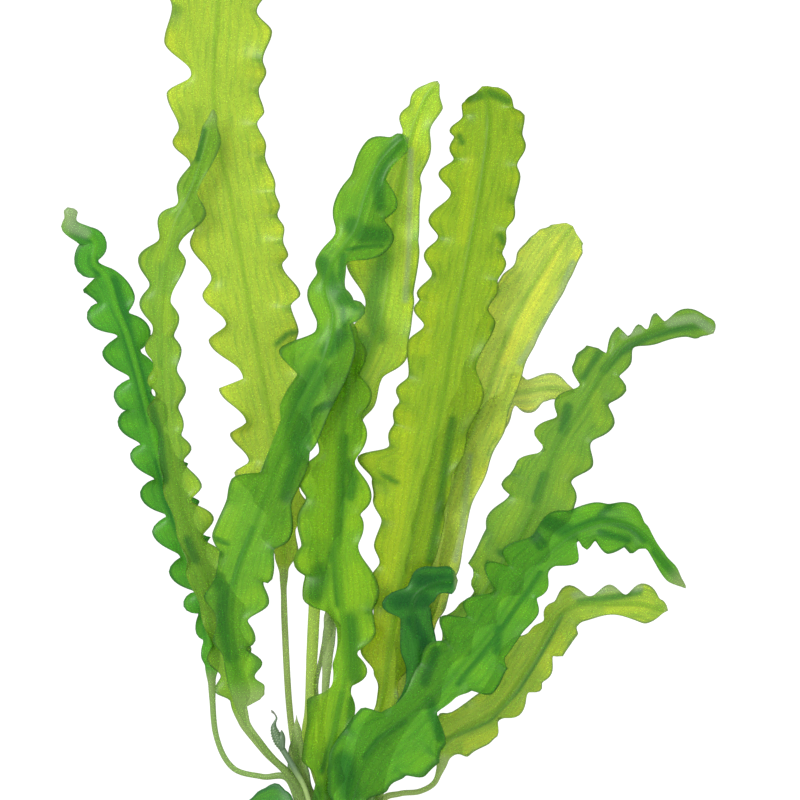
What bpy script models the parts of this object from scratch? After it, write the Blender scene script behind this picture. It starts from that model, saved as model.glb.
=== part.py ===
"""Aponogeton, a ruffled water plant, lying on a flat surface as it was lifted out of its tank.

The leaves fan out along +Y from a tuber with short roots. Each leaf is one closed ribbon: a round
petiole that widens into a wavy blade. +Z is up, and the lowest leaves touch the surface at z = 0.
"""

import math

import bmesh
import bpy
from mathutils import Vector

MM = 0.001

# Place of the tables' zero point, so that the plant's box stands centred on the origin
PLANT_SHIFT_X = 5.32
PLANT_SHIFT_Y = 10.9
PLANT_SHIFT_Z = -0.68

# Tuber, in millimetres: centre and half sizes
TUBER_CENTRE = Vector((-26.0, -203.0, 14.0))
TUBER_HALF = Vector((19.0, 17.0, 13.5))
TUBER_LUMP = 0.06
TUBER_TAPER = 0.3
TUBER_SIDES = 16
TUBER_RINGS = 10
CROWN_GAP = 1.4

# Leaf section, in millimetres
BLADE_HALF_THICKNESS = 0.45
PETIOLE_ROUNDNESS = 0.87
MID_SECTION = 0.62
PETIOLE_RADIUS = 1.5
SHEATH_HALF_WIDTH = 2.4
MID_LIFT = 0.2
RUFFLE_START = 3.0
RUFFLE_FULL = 8.0
NARROWEST_TOOTH = 1.0
USUAL_STEP = 9.0
# The rim lies this far outside the listed teeth and notches
RIM_REACH = 0.8
SLIMMEST_HALF_WIDTH = 0.6
SPAN_STEPS = 24
LOOK_AHEAD = 0.8
PETIOLE_STEP = 12.0
CLOSEST_STATIONS = 2.0

# Corners of the leaf section are numbered from the left margin over the top to the right margin
# and back below. The upper and lower faces are split alike, so that they never cross.
LEAF_DIAGONALS = ((0, 1), (0, 5), (3, 2), (3, 4), (1, 2), (5, 4))

# Each leaf: where it leaves the tuber (degrees round and up), the teeth and notches of its left and
# right margin by turns from the tip (x, y), the depth of the teeth that aren't listed, how far a
# lobe bulges over its notches, the height of a ruffle, its colour, and its midrib as rows of x, y,
# z, half width and turn.
LEAVES = {
    "tall_leaf": {
        "leaves_tuber_at": (-30, -15),
        "left": ((-104.5, 185.5), (-102, 176.5), (-105.5, 163), (-93, 146), (-104.5, 138.5), (-99, 124),
            (-102, 117), (-94, 106.5), (-97, 94.5), (-91.5, 78.5), (-94, 70.5), (-84.5, 56),
            (-88.5, 48), (-77.5, 34), (-85.5, 26.5), (-69.5, 10.5), (-81, 5), (-68.5, -10),
            (-76, -15.5), (-67.5, -27), (-74, -32.5), (-65.5, -44)),
        "right": ((-58.5, 165), (-62.5, 153.5), (-61, 148.5), (-64.5, 139.5), (-62, 130.5),
            (-65, 123.5), (-61, 114.5), (-61.5, 109), (-57, 98), (-57, 93.5), (-55, 88.5), (-56, 83),
            (-53, 78), (-53.5, 72), (-51, 65), (-54, 61), (-45.5, 47), (-50, 42.5), (-46.5, 31.5),
            (-48, 23.5)),
        "tooth": 2.6, "bulge": 0, "ruffle": 3.6,
        "colour": (0.42, 0.62, 0.07),
        "midrib": [
            (-40, -178, 11, 1.8, 0), (-46.6, -161, 8, 1.5, 0), (-50, -137, 6, 1.5, 0),
            (-52, -101, 5, 1.5, 0), (-52.5, -80, 5, 1.7, 0), (-52.5, -68, 5, 5.5, 0),
            (-53, -50, 5, 10, 0), (-57, -19, 5, 14, 0), (-63, 14, 5, 18, 0),
            (-68, 42, 5, 20, 0), (-76, 88, 5, 20.5, 0), (-84, 135, 5, 20.5, 0), (-82, 180, 5, 20, 0),
            (-80, 212, 5, 14, 0), (-79, 230, 5, 7, 0), (-79, 238, 5, 1.2, 0),
        ],
    },
    "inner_left_leaf": {
        "leaves_tuber_at": (-50, 10),
        "left": ((-88.5, 121.5), (-91.5, 109), (-99.5, 97), (-99.5, 88), (-108, 82), (-107.5, 72.5),
            (-117, 64), (-112, 52), (-116.5, 43.5), (-110, 31.5), (-114, 24), (-109.5, 15.5),
            (-113, 9), (-106.5, 3.5), (-113, -5), (-107.5, -15), (-108, -25),
            (-106, -34), (-105.5, -42), (-100, -52), (-99, -62), (-94.5, -71), (-95, -80), (-90, -90),
            (-88, -100), (-83.5, -110), (-86, -117), (-80, -124), (-82.5, -131), (-75.5, -135.5)),
        "right": ((-81.5, 115), (-92, 93.5), (-88, 83), (-100.5, 69), (-97, 62), (-104, 44.5),
            (-100, 37), (-102.5, 29.5), (-99, 22.5), (-101, 13.5), (-97, 5), (-100.5, -3.5), (-98, -11),
            (-99, -15.5), (-94.5, -22), (-98, -27.5), (-90, -38), (-94.5, -45.5), (-84.5, -53),
            (-89.5, -62.5), (-80, -70), (-82, -77.5)),
        "tooth": 2.0, "bulge": 0.6, "ruffle": 2.8,
        "colour": (0.25, 0.52, 0.05),
        "midrib": [
            (-47, -172, 15, 1.8, 0), (-61, -158, 13, 1.6, 0), (-71.5, -144, 13, 1.8, 0),
            (-74, -129, 14, 6, 0), (-81, -101, 14, 11, 0), (-91, -71, 14, 12, 0),
            (-101, -40, 14, 10, 0), (-106, -9, 14, 8, 0), (-108, 19, 14, 7.5, 0),
            (-107, 45, 14, 7.5, 0), (-105, 64, 14, 8, 0), (-101, 79, 14, 8, 0), (-95, 91, 14, 5.5, 0),
            (-90, 105, 14, 5, 0), (-85.5, 120, 14, 3.5, 0), (-84, 131, 14, 1, 0),
        ],
    },
    "outer_left_leaf": {
        "leaves_tuber_at": (-60, -20),
        "left": ((-152.5, 87.5), (-150.5, 83), (-151.5, 76.5), (-143, 70), (-146, 61), (-137, 55.5),
            (-144, 50.5), (-136, 44), (-140.5, 37), (-126.5, 29), (-133.5, 20.5), (-121, 10),
            (-128.5, 2), (-123, -4.5), (-126.5, -11), (-116.5, -20), (-121, -25.5), (-110, -35),
            (-116.5, -43), (-104.5, -52), (-111, -60), (-98, -70.5), (-103.5, -78), (-92, -86.5),
            (-97, -92.5), (-90, -96.5), (-91.5, -103.5), (-87.5, -108.5), (-89, -115), (-83.5, -120.5)),
        "right": ((-146, 86.5), (-146, 80), (-133, 69), (-137, 61.5), (-120.5, 47.5), (-123, 39.5),
            (-113.5, 32), (-118.5, 22), (-110, 12.5), (-113.5, 3), (-105.5, -4.5), (-107.5, -13.5)),
        "tooth": 2.6, "bulge": 1.8, "ruffle": 3.0,
        "colour": (0.10, 0.42, 0.04),
        "midrib": [
            (-50, -171.2, 9, 1.6, 0), (-62, -169.8, 6, 1.3, 0), (-75.5, -165.8, 4, 1.3, 0),
            (-83, -151, 4, 1.3, 0), (-85, -126, 4.5, 2, 0), (-86, -108, 4.8, 7, 0),
            (-89, -85, 4.8, 9, 0), (-98, -62, 4.8, 9.5, 0), (-107, -32, 4.8, 9.5, 0),
            (-115, 0, 4.8, 9.5, 0), (-122, 26, 4.8, 9, 0), (-128, 42, 4.8, 8.5, 0),
            (-132, 55, 4.6, 7.5, 0), (-138, 62, 4.4, 5, 0), (-137.5, 71, 4.2, 5, 0),
            (-142, 75.5, 4, 3.5, 0), (-148, 80, 4, 2.4, 0), (-150, 87, 4, 1, 0),
        ],
    },
    "twisted_leaf": {
        "leaves_tuber_at": (-42, 28),
        "left": ((-14.5, 116), (-21, 101.5), (-29, 88), (-29.5, 73), (-36.7, 64), (-36, 56.5),
            (-41.5, 45), (-37.5, 32.5), (-53.5, 22), (-45, 11.5), (-52.5, -1), (-53, -11),
            (-57.5, -22.5), (-61, -31.5), (-75.5, -37), (-77.5, -46), (-83.5, -60), (-80, -68.5)),
        "right": ((2, 111.5), (-7, 100), (-2, 87), (-7.5, 81.5), (-3.5, 72), (-24.5, 61), (-25, 53),
            (-22, 44.5),
            (-15.5, 40), (-22, 33), (-21, 20), (-29, 1), (-37, -17), (-41, -23), (-42.5, -31),
            (-49, -45), (-49.5, -61), (-57, -67), (-58, -80), (-62, -81.5), (-59.5, -91), (-69, -98.5),
            (-65.5, -107.5), (-69.5, -111.5), (-62.5, -118), (-66, -124), (-61.5, -128.5),
            (-61.5, -132), (-63.5, -135), (-69.5, -138)),
        "tooth": 2.2, "bulge": 1.2, "ruffle": 2.8,
        "colour": (0.05, 0.30, 0.05),
        "midrib": [
            (-46, -173, 21, 1.8, 0), (-60.3, -157, 22, 1.5, 0), (-72.3, -137, 23, 1.6, 0),
            (-75, -112, 23, 6, 0), (-75, -86, 23, 11, 0), (-66, -58, 22, 12, 0),
            (-55, -29, 24, 12.5, 0), (-44, -2, 30, 12.5, 0), (-34, 18, 31, 11, 0), (-30, 36, 29, 8, 15),
            (-33, 50, 25, 7, 25), (-30, 62, 20, 8, 10), (-20, 76, 17, 12, 0), (-15, 92, 15, 12, 0),
            (-9, 106, 14, 10, 0), (-1, 115, 14, 6, 0), (4, 118, 14, 1, 0),
        ],
    },
    "pale_back_leaf": {
        "leaves_tuber_at": (-15, 0),
        "left": ((6, 137.5), (5, 133), (0.5, 128), (2, 121), (-3.5, 108), (-7, 98), (-12.5, 86.5),
            (-15.5, 76.5), (-23.5, 63), (-15, 41.5), (-21.5, 30.5), (-22.5, 21.5)),
        "right": ((18.5, 131.5), (13, 122.5), (13, 111.5), (8.5, 101), (9, 94.5), (7.5, 72), (8, 66),
            (5.5, 49.5), (5.5, 42.5), (3.5, 29), (2.5, 19.5), (-8.5, 10.5), (-12, -2), (-17.5, -9),
            (-17.5, -15.5), (-21.5, -21.5), (-21.5, -31.5), (-24.5, -40.5)),
        "tooth": 1.8, "bulge": 0.5, "ruffle": 2.4,
        "colour": (0.45, 0.66, 0.10),
        "midrib": [
            (-36, -172, 12, 2.4, 0), (-41, -153, 9, 3.1, 0), (-40.5, -138, 9, 2.4, 0),
            (-39.5, -112, 9, 2.6, 0),
            (-37.5, -81, 12, 3.2, 0), (-33, -50, 13, 7.5, 0), (-28, -22, 13, 8, 0), (-22, 1, 13, 10.5, 0),
            (-12, 22, 11, 13, 0), (-6, 47, 8, 12.5, 0), (-3, 76, 5, 11, 0), (1, 100, 4, 8.5, 0),
            (6, 122, 4, 7, 0), (11, 135, 4, 6, 0), (16, 142, 4, 3, 0), (17, 144, 4, 1, 0),
        ],
    },
    "centre_leaf": {
        "leaves_tuber_at": (-3, 45),
        "left": ((-39, -5.5), (-35.5, -22.5), (-45, -35), (-41.5, -43.5), (-45.5, -54), (-43.5, -65),
            (-47, -73), (-42, -79), (-43, -88), (-31.5, -95.5), (-25.5, -102.5), (-29.5, -119),
            (-29.5, -127), (-41, -135), (-41.5, -148.5), (-43.5, -161)),
        "right": ((-15.5, -16), (-21, -28), (-13.5, -43), (-18.5, -51.5), (-17, -56.5), (-19.5, -65.5),
            (-10, -85.5), (-13, -95.5), (-11.5, -103.5), (-20, -113.5), (-15.5, -122.5), (-23.5, -129),
            (-21, -140.5), (-25, -152)),
        "tooth": 2.4, "bulge": 1.2, "ruffle": 2.6,
        "colour": (0.14, 0.44, 0.04),
        "midrib": [
            (-34, -182, 24, 4.5, 0), (-32, -164, 26, 7, 0), (-27, -138, 25, 8.5, 0),
            (-24, -115, 24, 9.5, 0), (-27, -83, 23, 11.5, 0),
            (-28, -54, 22, 12, 0), (-27, -25, 22, 12, 0), (-24, 4, 22, 9, 0), (-23, 28, 21, 5, 0),
            (-23, 37, 21, 1, 0),
        ],
    },
    "broad_leaf": {
        "leaves_tuber_at": (20, 15),
        "left": ((32.5, 140.5), (30, 136), (28.5, 132.5), (29, 128.5), (23, 121), (25, 117.5),
            (23, 114), (25, 109), (18, 101.5),
            (23.5, 92), (13.5, 81), (18, 74), (11.5, 65.5), (15, 56), (8, 47), (9.5, 45), (7, 41.5),
            (11.5, 33.5), (4, 25), (4.5, 11), (-1, 5), (0.5, -0.5), (-2.5, -6), (-2, -10.5),
            (-4.5, -15.5), (-4, -20), (-18.5, -26.5), (-12, -36.5), (-11.5, -45), (-7.5, -54.5),
            (-11, -65),
            (-8.5, -73.5), (-12.5, -80.5), (-11, -91),
            (-11.5, -101), (-10.5, -104), (-17, -112), (-11, -122), (-8.5, -131), (-8, -138)),
        "right": ((50, 135), (50.5, 131.5), (55.5, 128), (54.5, 121), (56, 114.5), (52, 106),
            (53.5, 100), (51, 89.5), (51, 83), (47, 76.5), (47, 71), (45.5, 67.5), (47, 61), (43, 53),
            (43.5, 49.5), (39, 41.5), (42, 34), (33.5, 15.5), (37, 2.5), (29.5, -15.5), (28.5, -22.5),
            (22.5, -34), (22, -40.5), (19, -50.5), (19, -56.5), (16, -68.5)),
        "tooth": 1.9, "bulge": 0.4, "ruffle": 2.8,
        "colour": (0.22, 0.50, 0.04),
        "midrib": [
            (-21, -176, 17, 3.5, 0), (-15, -155, 16, 4.5, 0), (-8, -135, 15, 6.5, 0),
            (-4, -108, 15, 10, 0), (1, -80, 17, 13, 0), (9, -46, 20, 16, 0), (18, -6, 20.5, 17, 0),
            (25, 36, 20, 17, 0), (32, 71, 15, 16, 0), (37, 99, 10, 16, 0), (40, 122, 6, 14, 0),
            (39.5, 134, 5, 12, 0), (38, 139.5, 5, 8.5, 0), (37, 141.5, 5, 3, 0),
        ],
    },
    "pale_right_leaf": {
        "leaves_tuber_at": (28, -8),
        "left": ((73, 79.5), (68, 78), (63, 76), (58.5, 72), (54, 67), (52, 60.5),
            (46.5, 55.5), (43, 49)),
        "right": ((80.5, 75), (82, 71), (81.5, 66), (76, 55), (72, 47), (65.5, 36), (60.5, 26),
            (55.5, 16), (53.5, 8.5),
            (48.5, -4), (46.5, -13.5), (40.5, -25), (38, -33.5), (31, -48.5), (28.5, -61), (26, -75.5)),
        "tooth": 0.6, "bulge": 0, "ruffle": 1.2,
        "colour": (0.48, 0.66, 0.10),
        "midrib": [
            (-15, -176, 11, 2.6, 0), (-8, -153, 9, 2.5, 0), (0, -135, 8, 3, 0), (5, -112, 9, 7, 0),
            (15, -73, 12, 12, 0), (24, -37, 12, 13.5, 0), (38, 0, 11, 13.5, 0), (51, 36, 8, 13.5, 0),
            (65, 60, 5, 13, 0), (72, 71, 3.5, 11, 0), (76, 76.5, 3.5, 8, 0), (78, 78.5, 3.5, 1.5, 0),
        ],
    },
    "hooked_back_leaf": {
        "leaves_tuber_at": (45, -30),
        "left": ((68.5, 11.5), (58, 8.5), (50.5, 11.5), (47, 3.5)),
        "right": ((70, 1), (65, 0), (59, -5), (51.5, -2), (48, -11), (44.5, -16)),
        "tooth": 1.2, "bulge": 0.5, "ruffle": 1.6,
        "colour": (0.48, 0.66, 0.10),
        "midrib": [
            (-9, -172, 6, 1.8, 0), (0, -144, 4, 1.4, 0), (11, -108, 3, 1.5, 0), (22, -65, 3, 3, 0),
            (30, -35, 3, 6, 0), (39, -12, 3, 7, 0), (48, 1, 3, 7, 0), (58, 4, 3, 6.5, 0),
            (68, 5.5, 3, 5.5, 0), (76, 4, 3, 3, 0), (79, 3, 3, 0.8, 0),
        ],
    },
    "right_leaf": {
        "leaves_tuber_at": (52, 0),
        "left": ((129.5, 40.5), (119, 34.5), (115, 38.5), (111.5, 31), (108, 33.5), (104, 26.5),
            (99.5, 33), (93.5, 20.5), (85, 24.5), (80, 20), (78.5, 15.5), (82, 7), (70.5, 0),
            (71, -8), (61, -14), (66.5, -23), (53, -28.5), (50.5, -33),
            (46.5, -37.5), (50, -43), (40, -52.5), (39, -59), (31.5, -73.5), (34, -75.5), (32.5, -82),
            (35, -87.5)),
        "right": ((139.5, 27), (132.5, 28.5), (117, 26.5), (105.5, 24.5), (103, 16), (98, 11),
            (101, 4), (93.5, -1.5), (95.5, -11.5), (85.5, -18.5), (86, -29.5), (76.5, -36.5),
            (78.5, -45.5),
            (75.5, -54)),
        "tooth": 2.4, "bulge": 0.9, "ruffle": 2.8,
        "colour": (0.14, 0.44, 0.05),
        "midrib": [
            (-9, -170, 13, 2.6, 0), (-1, -149, 12, 3, 0), (18, -119, 12, 6, 0), (35, -91, 12, 10, 0),
            (52, -65, 12, 14, 0), (62, -45, 12, 15, 0), (70, -22, 12, 14, 0), (82, -3, 11, 12, 0),
            (93, 15, 8, 8, 0), (102, 26, 6.5, 5.5, 0), (113, 30, 5.5, 5, 0), (128, 35, 4.5, 5.5, 0),
            (137.5, 33.5, 4, 5.5, 0), (141.5, 30, 4, 1.5, 0),
        ],
    },
    "arching_leaf": {
        "leaves_tuber_at": (15, 55),
        "left": ((123.5, -75), (119, -70), (115, -65), (111, -57), (103, -47), (93, -47.5), (86, -47),
            (77.5, -50), (67.5, -51.5), (59.5, -61.5), (46.5, -67.5), (49.5, -74.5), (39, -73.5),
            (43, -85.5), (29, -91), (31, -97), (18.5, -98), (20.5, -108), (12.5, -110.5), (9, -119),
            (-2, -137), (-8, -140.5), (-17, -138.5), (-24, -147.5), (-30, -156), (-31.5, -164),
            (-32, -174)),
        "right": ((120.5, -80.5), (115, -72), (112, -67), (108.5, -67), (104.5, -69), (101, -65.5),
            (93.5, -68.5), (88.5, -62.5), (83, -67), (79, -61), (79, -72.5), (66.5, -75), (65, -85.5),
            (60.5, -89), (61, -96.5), (54, -104.5), (46.5, -115), (47, -120.5), (41.5, -130.5),
            (31.5, -129.5), (23.5, -133.5), (16, -139), (19, -155), (17, -162),
            (11, -167.5), (2, -167.5), (-6, -174)),
        "tooth": 2.0, "bulge": 0.8, "ruffle": 2.6,
        "colour": (0.08, 0.36, 0.05),
        "midrib": [
            (-22, -180, 29, 5.5, 0), (-16, -163, 31, 9, 0), (-4, -148, 32, 11, 0),
            (11, -136, 31, 13, 0), (24, -123, 29, 13.5, 0), (40, -104, 25, 15, 0),
            (57, -79, 22, 14.5, 0), (73, -63, 19.5, 12, 0), (88, -56, 15.5, 10, 0),
            (102, -56, 10.5, 9.5, 0),
            (112, -63, 7, 5.5, 0), (120, -75, 5, 3.5, 0), (129, -85, 4, 1, 0),
        ],
    },
    "low_right_leaf": {
        "leaves_tuber_at": (80, -15),
        "left": ((110, -83.5), (102, -88.5), (94.5, -84), (85.5, -89.5), (75, -84.5), (70, -91.5),
            (66.5, -93.5), (65.5, -100), (59.5, -104), (51, -108), (46, -113), (42, -125),
            (35, -133.5), (29.5, -137.5), (23.5, -141.5), (18.5, -142)),
        "right": ((110, -100), (95.5, -96), (83, -99), (79.5, -101.5), (79.5, -105.5),
            (76.5, -109.5), (73, -115), (68.5, -115), (67.5, -123.5), (63.5, -127), (63, -130.5),
            (57, -132), (54, -141), (43.5, -143), (43, -151.5), (39, -155), (30.5, -160), (21, -163)),
        "tooth": 1.4, "bulge": 0.5, "ruffle": 2.0,
        "colour": (0.42, 0.62, 0.10),
        "midrib": [
            (-8, -181, 9, 1.6, 0), (0, -177.5, 6, 1.3, 0), (9, -176.5, 3.5, 1.3, 0),
            (16, -172, 3, 1.3, 0), (18.5, -162, 3.5, 1.8, 0), (21, -155, 4, 6, 0),
            (27, -149.5, 4, 10.5, 0), (36, -145, 4, 10.5, 0), (46, -138, 4, 10.5, 0),
            (54, -127, 4, 10.5, 0), (61, -116, 4, 10, 0), (67, -105, 4, 9.5, 0), (73, -96.5, 4, 8.5, 0),
            (82, -92, 4, 7, 0), (95, -92, 4, 6.5, 0), (108, -92, 4, 8, 0), (116, -94, 4, 5.5, 0),
            (121, -95, 4, 1, 0),
        ],
    },
    "dark_young_leaf": {
        "leaves_tuber_at": (40, 30),
        "left": ((25, -75.5), (18, -75.5), (8, -76.5), (3.5, -84.5), (-7.5, -92), (1, -98), (1, -112.5),
            (3.5, -120.5)),
        "right": ((25, -86.5), (18, -86), (14.5, -90), (13.5, -97), (15.5, -108), (16, -117),
            (18, -128), (17, -135)),
        "tooth": 1.2, "bulge": 0.3, "ruffle": 1.4,
        "colour": (0.03, 0.20, 0.05),
        "midrib": [
            (-12, -170, 21, 2.4, 0), (-2, -145, 22, 3, 0), (7, -130, 23.5, 6, 0), (8, -115, 24, 7, 0),
            (6, -100, 24, 8, 0), (6, -90, 24, 8, 0), (12, -84, 24, 6, 0), (20, -81.5, 24, 5.5, 0),
            (26, -81, 24, 1.5, 0),
        ],
    },
    "low_left_leaf": {
        "leaves_tuber_at": (-75, 25),
        "left": ((-67.5, -193.5), (-62, -190), (-58.5, -190), (-54, -187)),
        "right": ((-66.5, -180), (-61.5, -176), (-55.5, -173.2), (-51.5, -176.5)),
        "tooth": 1.2, "bulge": 0.4, "ruffle": 1.8,
        "colour": (0.06, 0.30, 0.05),
        "midrib": [
            (-49, -189, 18, 2.5, 0), (-55, -184, 14, 4, 0), (-62, -184, 9, 5.5, 0),
            (-69, -191, 6, 6.5, 0),
            (-75, -201, 4, 6, 0), (-79, -211, 4, 3.5, 0), (-80, -216, 4, 1, 0),
        ],
    },
    "upper_young_spear": {
        "leaves_tuber_at": (-10, 22),
        "left": (), "right": (), "tooth": 0, "bulge": 0, "ruffle": 0,
        "colour": (0.30, 0.45, 0.14),
        "midrib": [
            (-33, -172, 17, 1.4, 0), (-36, -153, 16, 1.3, 0), (-34, -135, 15.5, 1.4, 0),
            (-32.5, -115, 15.5, 2.4, 0), (-31.5, -100, 15.5, 2.9, 0), (-33, -90, 15.5, 0.7, 0),
        ],
    },
    "lower_young_spear": {
        "leaves_tuber_at": (-12, -25),
        "left": (), "right": (), "tooth": 0, "bulge": 0, "ruffle": 0,
        "colour": (0.30, 0.45, 0.14),
        "midrib": [
            (-33, -172, 7, 1.4, 0), (-35, -151, 4, 1.3, 0), (-38, -130, 3.5, 1.2, 0),
            (-35, -115, 5, 1.2, 0), (-32, -102, 7, 2.2, 0),
            (-30, -94, 7, 0.7, 0),
        ],
    },
    "leaf_spear": {
        "leaves_tuber_at": (-26, 15),
        "left": (), "right": (), "tooth": 0, "bulge": 0, "ruffle": 0,
        "colour": (0.25, 0.42, 0.10),
        "midrib": [
            (-41, -178, 18.2, 3, 0), (-45.4, -168, 18.3, 4.8, 0), (-46.4, -160, 18.2, 4, 0),
            (-46.3, -152, 18.2, 2.6, 0), (-46.5, -141, 17.5, 0.6, 0),
        ],
    },
}

# Flower bud: stalk as rows of x, y, z and radius, then the bud and its thread tip
BUD_LEAVES_TUBER_AT = (-72, 55)
BUD_STALK = [
    (-42, -176, 25.5, 1.1), (-46.5, -167, 25, 1.3), (-50, -161, 24, 1.35), (-52.6, -156.5, 23, 1.5),
    (-53.6, -153.5, 23, 2.5), (-54.4, -150.5, 22.5, 2.8), (-55.2, -147.2, 22, 1.6),
    (-55.6, -143.5, 22, 0.6), (-57.4, -139.5, 22, 0.45),
]
BUD_STEPS = 16
BUD_COLOUR = (0.10, 0.22, 0.08)

# Roots: the direction round the tuber in degrees from +Y, the length and the sideways bend
ROOTS = [
    (147, 34, 6), (168, 42, -5), (190, 38, 7), (212, 40, -6), (235, 33, 5), (124, 27, -6), (258, 22, 6),
]
# A root's path: share of its way out, height of its middle and radius
ROOT_PATH = [(0, 8, 1.0), (0.3, 6, 1.0), (0.65, 2.2, 0.8), (1, 1.2, 0.5)]
ROOT_START = 4.0
ROOT_SIDES = 6
ROOT_STEPS = 6
TUBER_COLOUR = (0.20, 0.12, 0.05)


def smooth_step(value):
    """0 below 0, 1 above 1, and an even slope between."""
    value = min(max(value, 0.0), 1.0)
    return value * value * (3.0 - 2.0 * value)


def on_tuber(round_degrees, up_degrees, clearance):
    """A point just outside the tuber, seen from its centre at the given angles from +Y."""
    turn = math.radians(round_degrees)
    rise = math.radians(up_degrees)
    way = Vector((math.sin(turn) * math.cos(rise), math.cos(turn) * math.cos(rise), math.sin(rise)))
    surface = Vector((way.x * TUBER_HALF.x, way.y * TUBER_HALF.y, way.z * TUBER_HALF.z))
    return TUBER_CENTRE + surface + way * clearance


def curve_row(rows, position):
    """One row of a table of rows, read from a smooth curve through them."""
    last = len(rows) - 1
    index = min(int(position), last - 1)
    part = position - index
    before = rows[max(index - 1, 0)]
    first = rows[index]
    second = rows[index + 1]
    after = rows[min(index + 2, last)]
    row = []
    for p0, p1, p2, p3 in zip(before, first, second, after):
        bend = (2 * p0 - 5 * p1 + 4 * p2 - p3) * part ** 2
        twist = (3 * p1 - p0 - 3 * p2 + p3) * part ** 3
        row.append(0.5 * (2 * p1 + (p2 - p0) * part + bend + twist))
    return row


def dense_rows(rows):
    """The smooth curve as many close rows, each with its distance from the start put first."""
    count = (len(rows) - 1) * SPAN_STEPS
    dense = []
    distance = 0.0
    for number in range(count + 1):
        row = curve_row(rows, number / SPAN_STEPS)
        if dense:
            distance += (Vector(row[:3]) - Vector(dense[-1][1:4])).length
        dense.append([distance] + row)
    return dense


def row_at(dense, distance):
    """The row of a dense table at a distance along it."""
    for before, after in zip(dense, dense[1:]):
        if after[0] >= distance:
            part = (distance - before[0]) / max(after[0] - before[0], 1e-9)
            return [a + (b - a) * part for a, b in zip(before, after)]
    return dense[-1]


def direction_at(dense, distance):
    """The curve's direction at a distance along it."""
    ahead = Vector(row_at(dense, distance + LOOK_AHEAD)[1:4])
    behind = Vector(row_at(dense, distance - LOOK_AHEAD)[1:4])
    return (ahead - behind).normalized()


def leaf_rows(leaf):
    """The leaf's midrib from the tuber to its tip."""
    start = on_tuber(*leaf["leaves_tuber_at"], CROWN_GAP)
    first = leaf["midrib"][0]
    return dense_rows([(start.x, start.y, start.z, min(first[3], SHEATH_HALF_WIDTH), 0)] + leaf["midrib"])


def ruffle_size(half_width):
    """0 in the petiole, 1 in the broad blade."""
    return smooth_step((half_width - RUFFLE_START) / (RUFFLE_FULL - RUFFLE_START))


def usual_width(leaf, dense, from_tip, is_tooth):
    """Half width of a tooth or notch that isn't listed."""
    half_width = row_at(dense, dense[-1][0] - from_tip)[4]
    wave = leaf["tooth"] * ruffle_size(half_width)
    return half_width + wave if is_tooth else half_width - wave


def margin_marks(leaf, dense, side):
    """Teeth and notches of one margin, by turns from the tip: distance from the tip and half width.

    The listed ones are carried on to both ends with the leaf's usual tooth. Also gives the number
    of the first mark, which is even for a tooth.
    """
    length = dense[-1][0]
    marks = []
    for x, y in leaf["left"] if side < 0 else leaf["right"]:
        away, distance = min((math.hypot(row[1] - x, row[2] - y), row[0]) for row in dense)
        from_tip = length - distance
        if marks:
            from_tip = max(from_tip, marks[-1][0] + NARROWEST_TOOTH)
        marks.append((from_tip, away + RIM_REACH))
    if not marks:
        marks = [(0.0, 0.0)]
    is_tooth = len(marks) % 2 == 1
    while marks[-1][0] < length:
        is_tooth = not is_tooth
        from_tip = min(marks[-1][0] + USUAL_STEP, length)
        marks.append((from_tip, usual_width(leaf, dense, from_tip, is_tooth)))
    first = 0
    while marks[0][0] > 0:
        first -= 1
        from_tip = max(marks[0][0] - USUAL_STEP, 0.0)
        marks.insert(0, (from_tip, usual_width(leaf, dense, from_tip, first % 2 == 0)))
    return marks, first


def margin_at(marks, first, from_tip):
    """Half width and wave in radians of one margin at a distance from the tip."""
    index = 0
    while index < len(marks) - 2 and from_tip > marks[index + 1][0]:
        index += 1
    near, far = marks[index], marks[index + 1]
    part = min(max((from_tip - near[0]) / (far[0] - near[0]), 0.0), 1.0)
    share = (1 - math.cos(math.pi * part)) / 2
    return near[1] + (far[1] - near[1]) * share, math.pi * (index + part + first)


def half_thickness(half_width):
    """Round in the petiole, thin in the blade."""
    round_share = math.exp(-max(half_width - PETIOLE_RADIUS, 0.0) / PETIOLE_RADIUS)
    return min(half_width * PETIOLE_ROUNDNESS, BLADE_HALF_THICKNESS + round_share)


def leaf_section(leaf, dense, margins, distance):
    """The six corners of the leaf's cross-section, from the left margin over the top."""
    row = row_at(dense, distance)
    centre = Vector(row[1:4])
    half_width = row[4]
    forward = direction_at(dense, distance)
    across = forward.cross(Vector((0, 0, 1))).normalized()
    normal = across.cross(forward)
    turn = math.radians(row[5])
    across, normal = (
        across * math.cos(turn) + normal * math.sin(turn),
        normal * math.cos(turn) - across * math.sin(turn),
    )
    thickness = half_thickness(half_width)
    corners = {}
    for side in (-1, 1):
        width, phase = margin_at(*margins[side], dense[-1][0] - distance)
        width = max(width, SLIMMEST_HALF_WIDTH)
        size = ruffle_size(half_width)
        height = leaf["ruffle"] * size * math.sin(phase / 2)
        back = leaf["bulge"] * size * math.sin(phase)
        corners[side] = centre + across * side * width + normal * height - forward * back
        middle = centre + across * side * min(width, half_width) * MID_SECTION + normal * height * MID_LIFT
        corners[side, "top"] = middle + normal * thickness
        corners[side, "bottom"] = middle - normal * thickness
    return [corners[-1], corners[-1, "top"], corners[1, "top"],
            corners[1], corners[1, "bottom"], corners[-1, "bottom"]]


def leaf_stations(dense, margins):
    """Distances of the cross-sections: far apart in the petiole, and at the teeth and notches."""
    length = dense[-1][0]
    wanted = [length - mark[0] for marks, _first in margins.values() for mark in marks]
    distances = [0.0]
    for distance in sorted(wanted):
        half_width = row_at(dense, distance)[4]
        step = CLOSEST_STATIONS if half_width > RUFFLE_START else PETIOLE_STEP
        if distances[-1] + step < distance < length - CLOSEST_STATIONS:
            distances.append(distance)
    return distances + [length]


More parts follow.
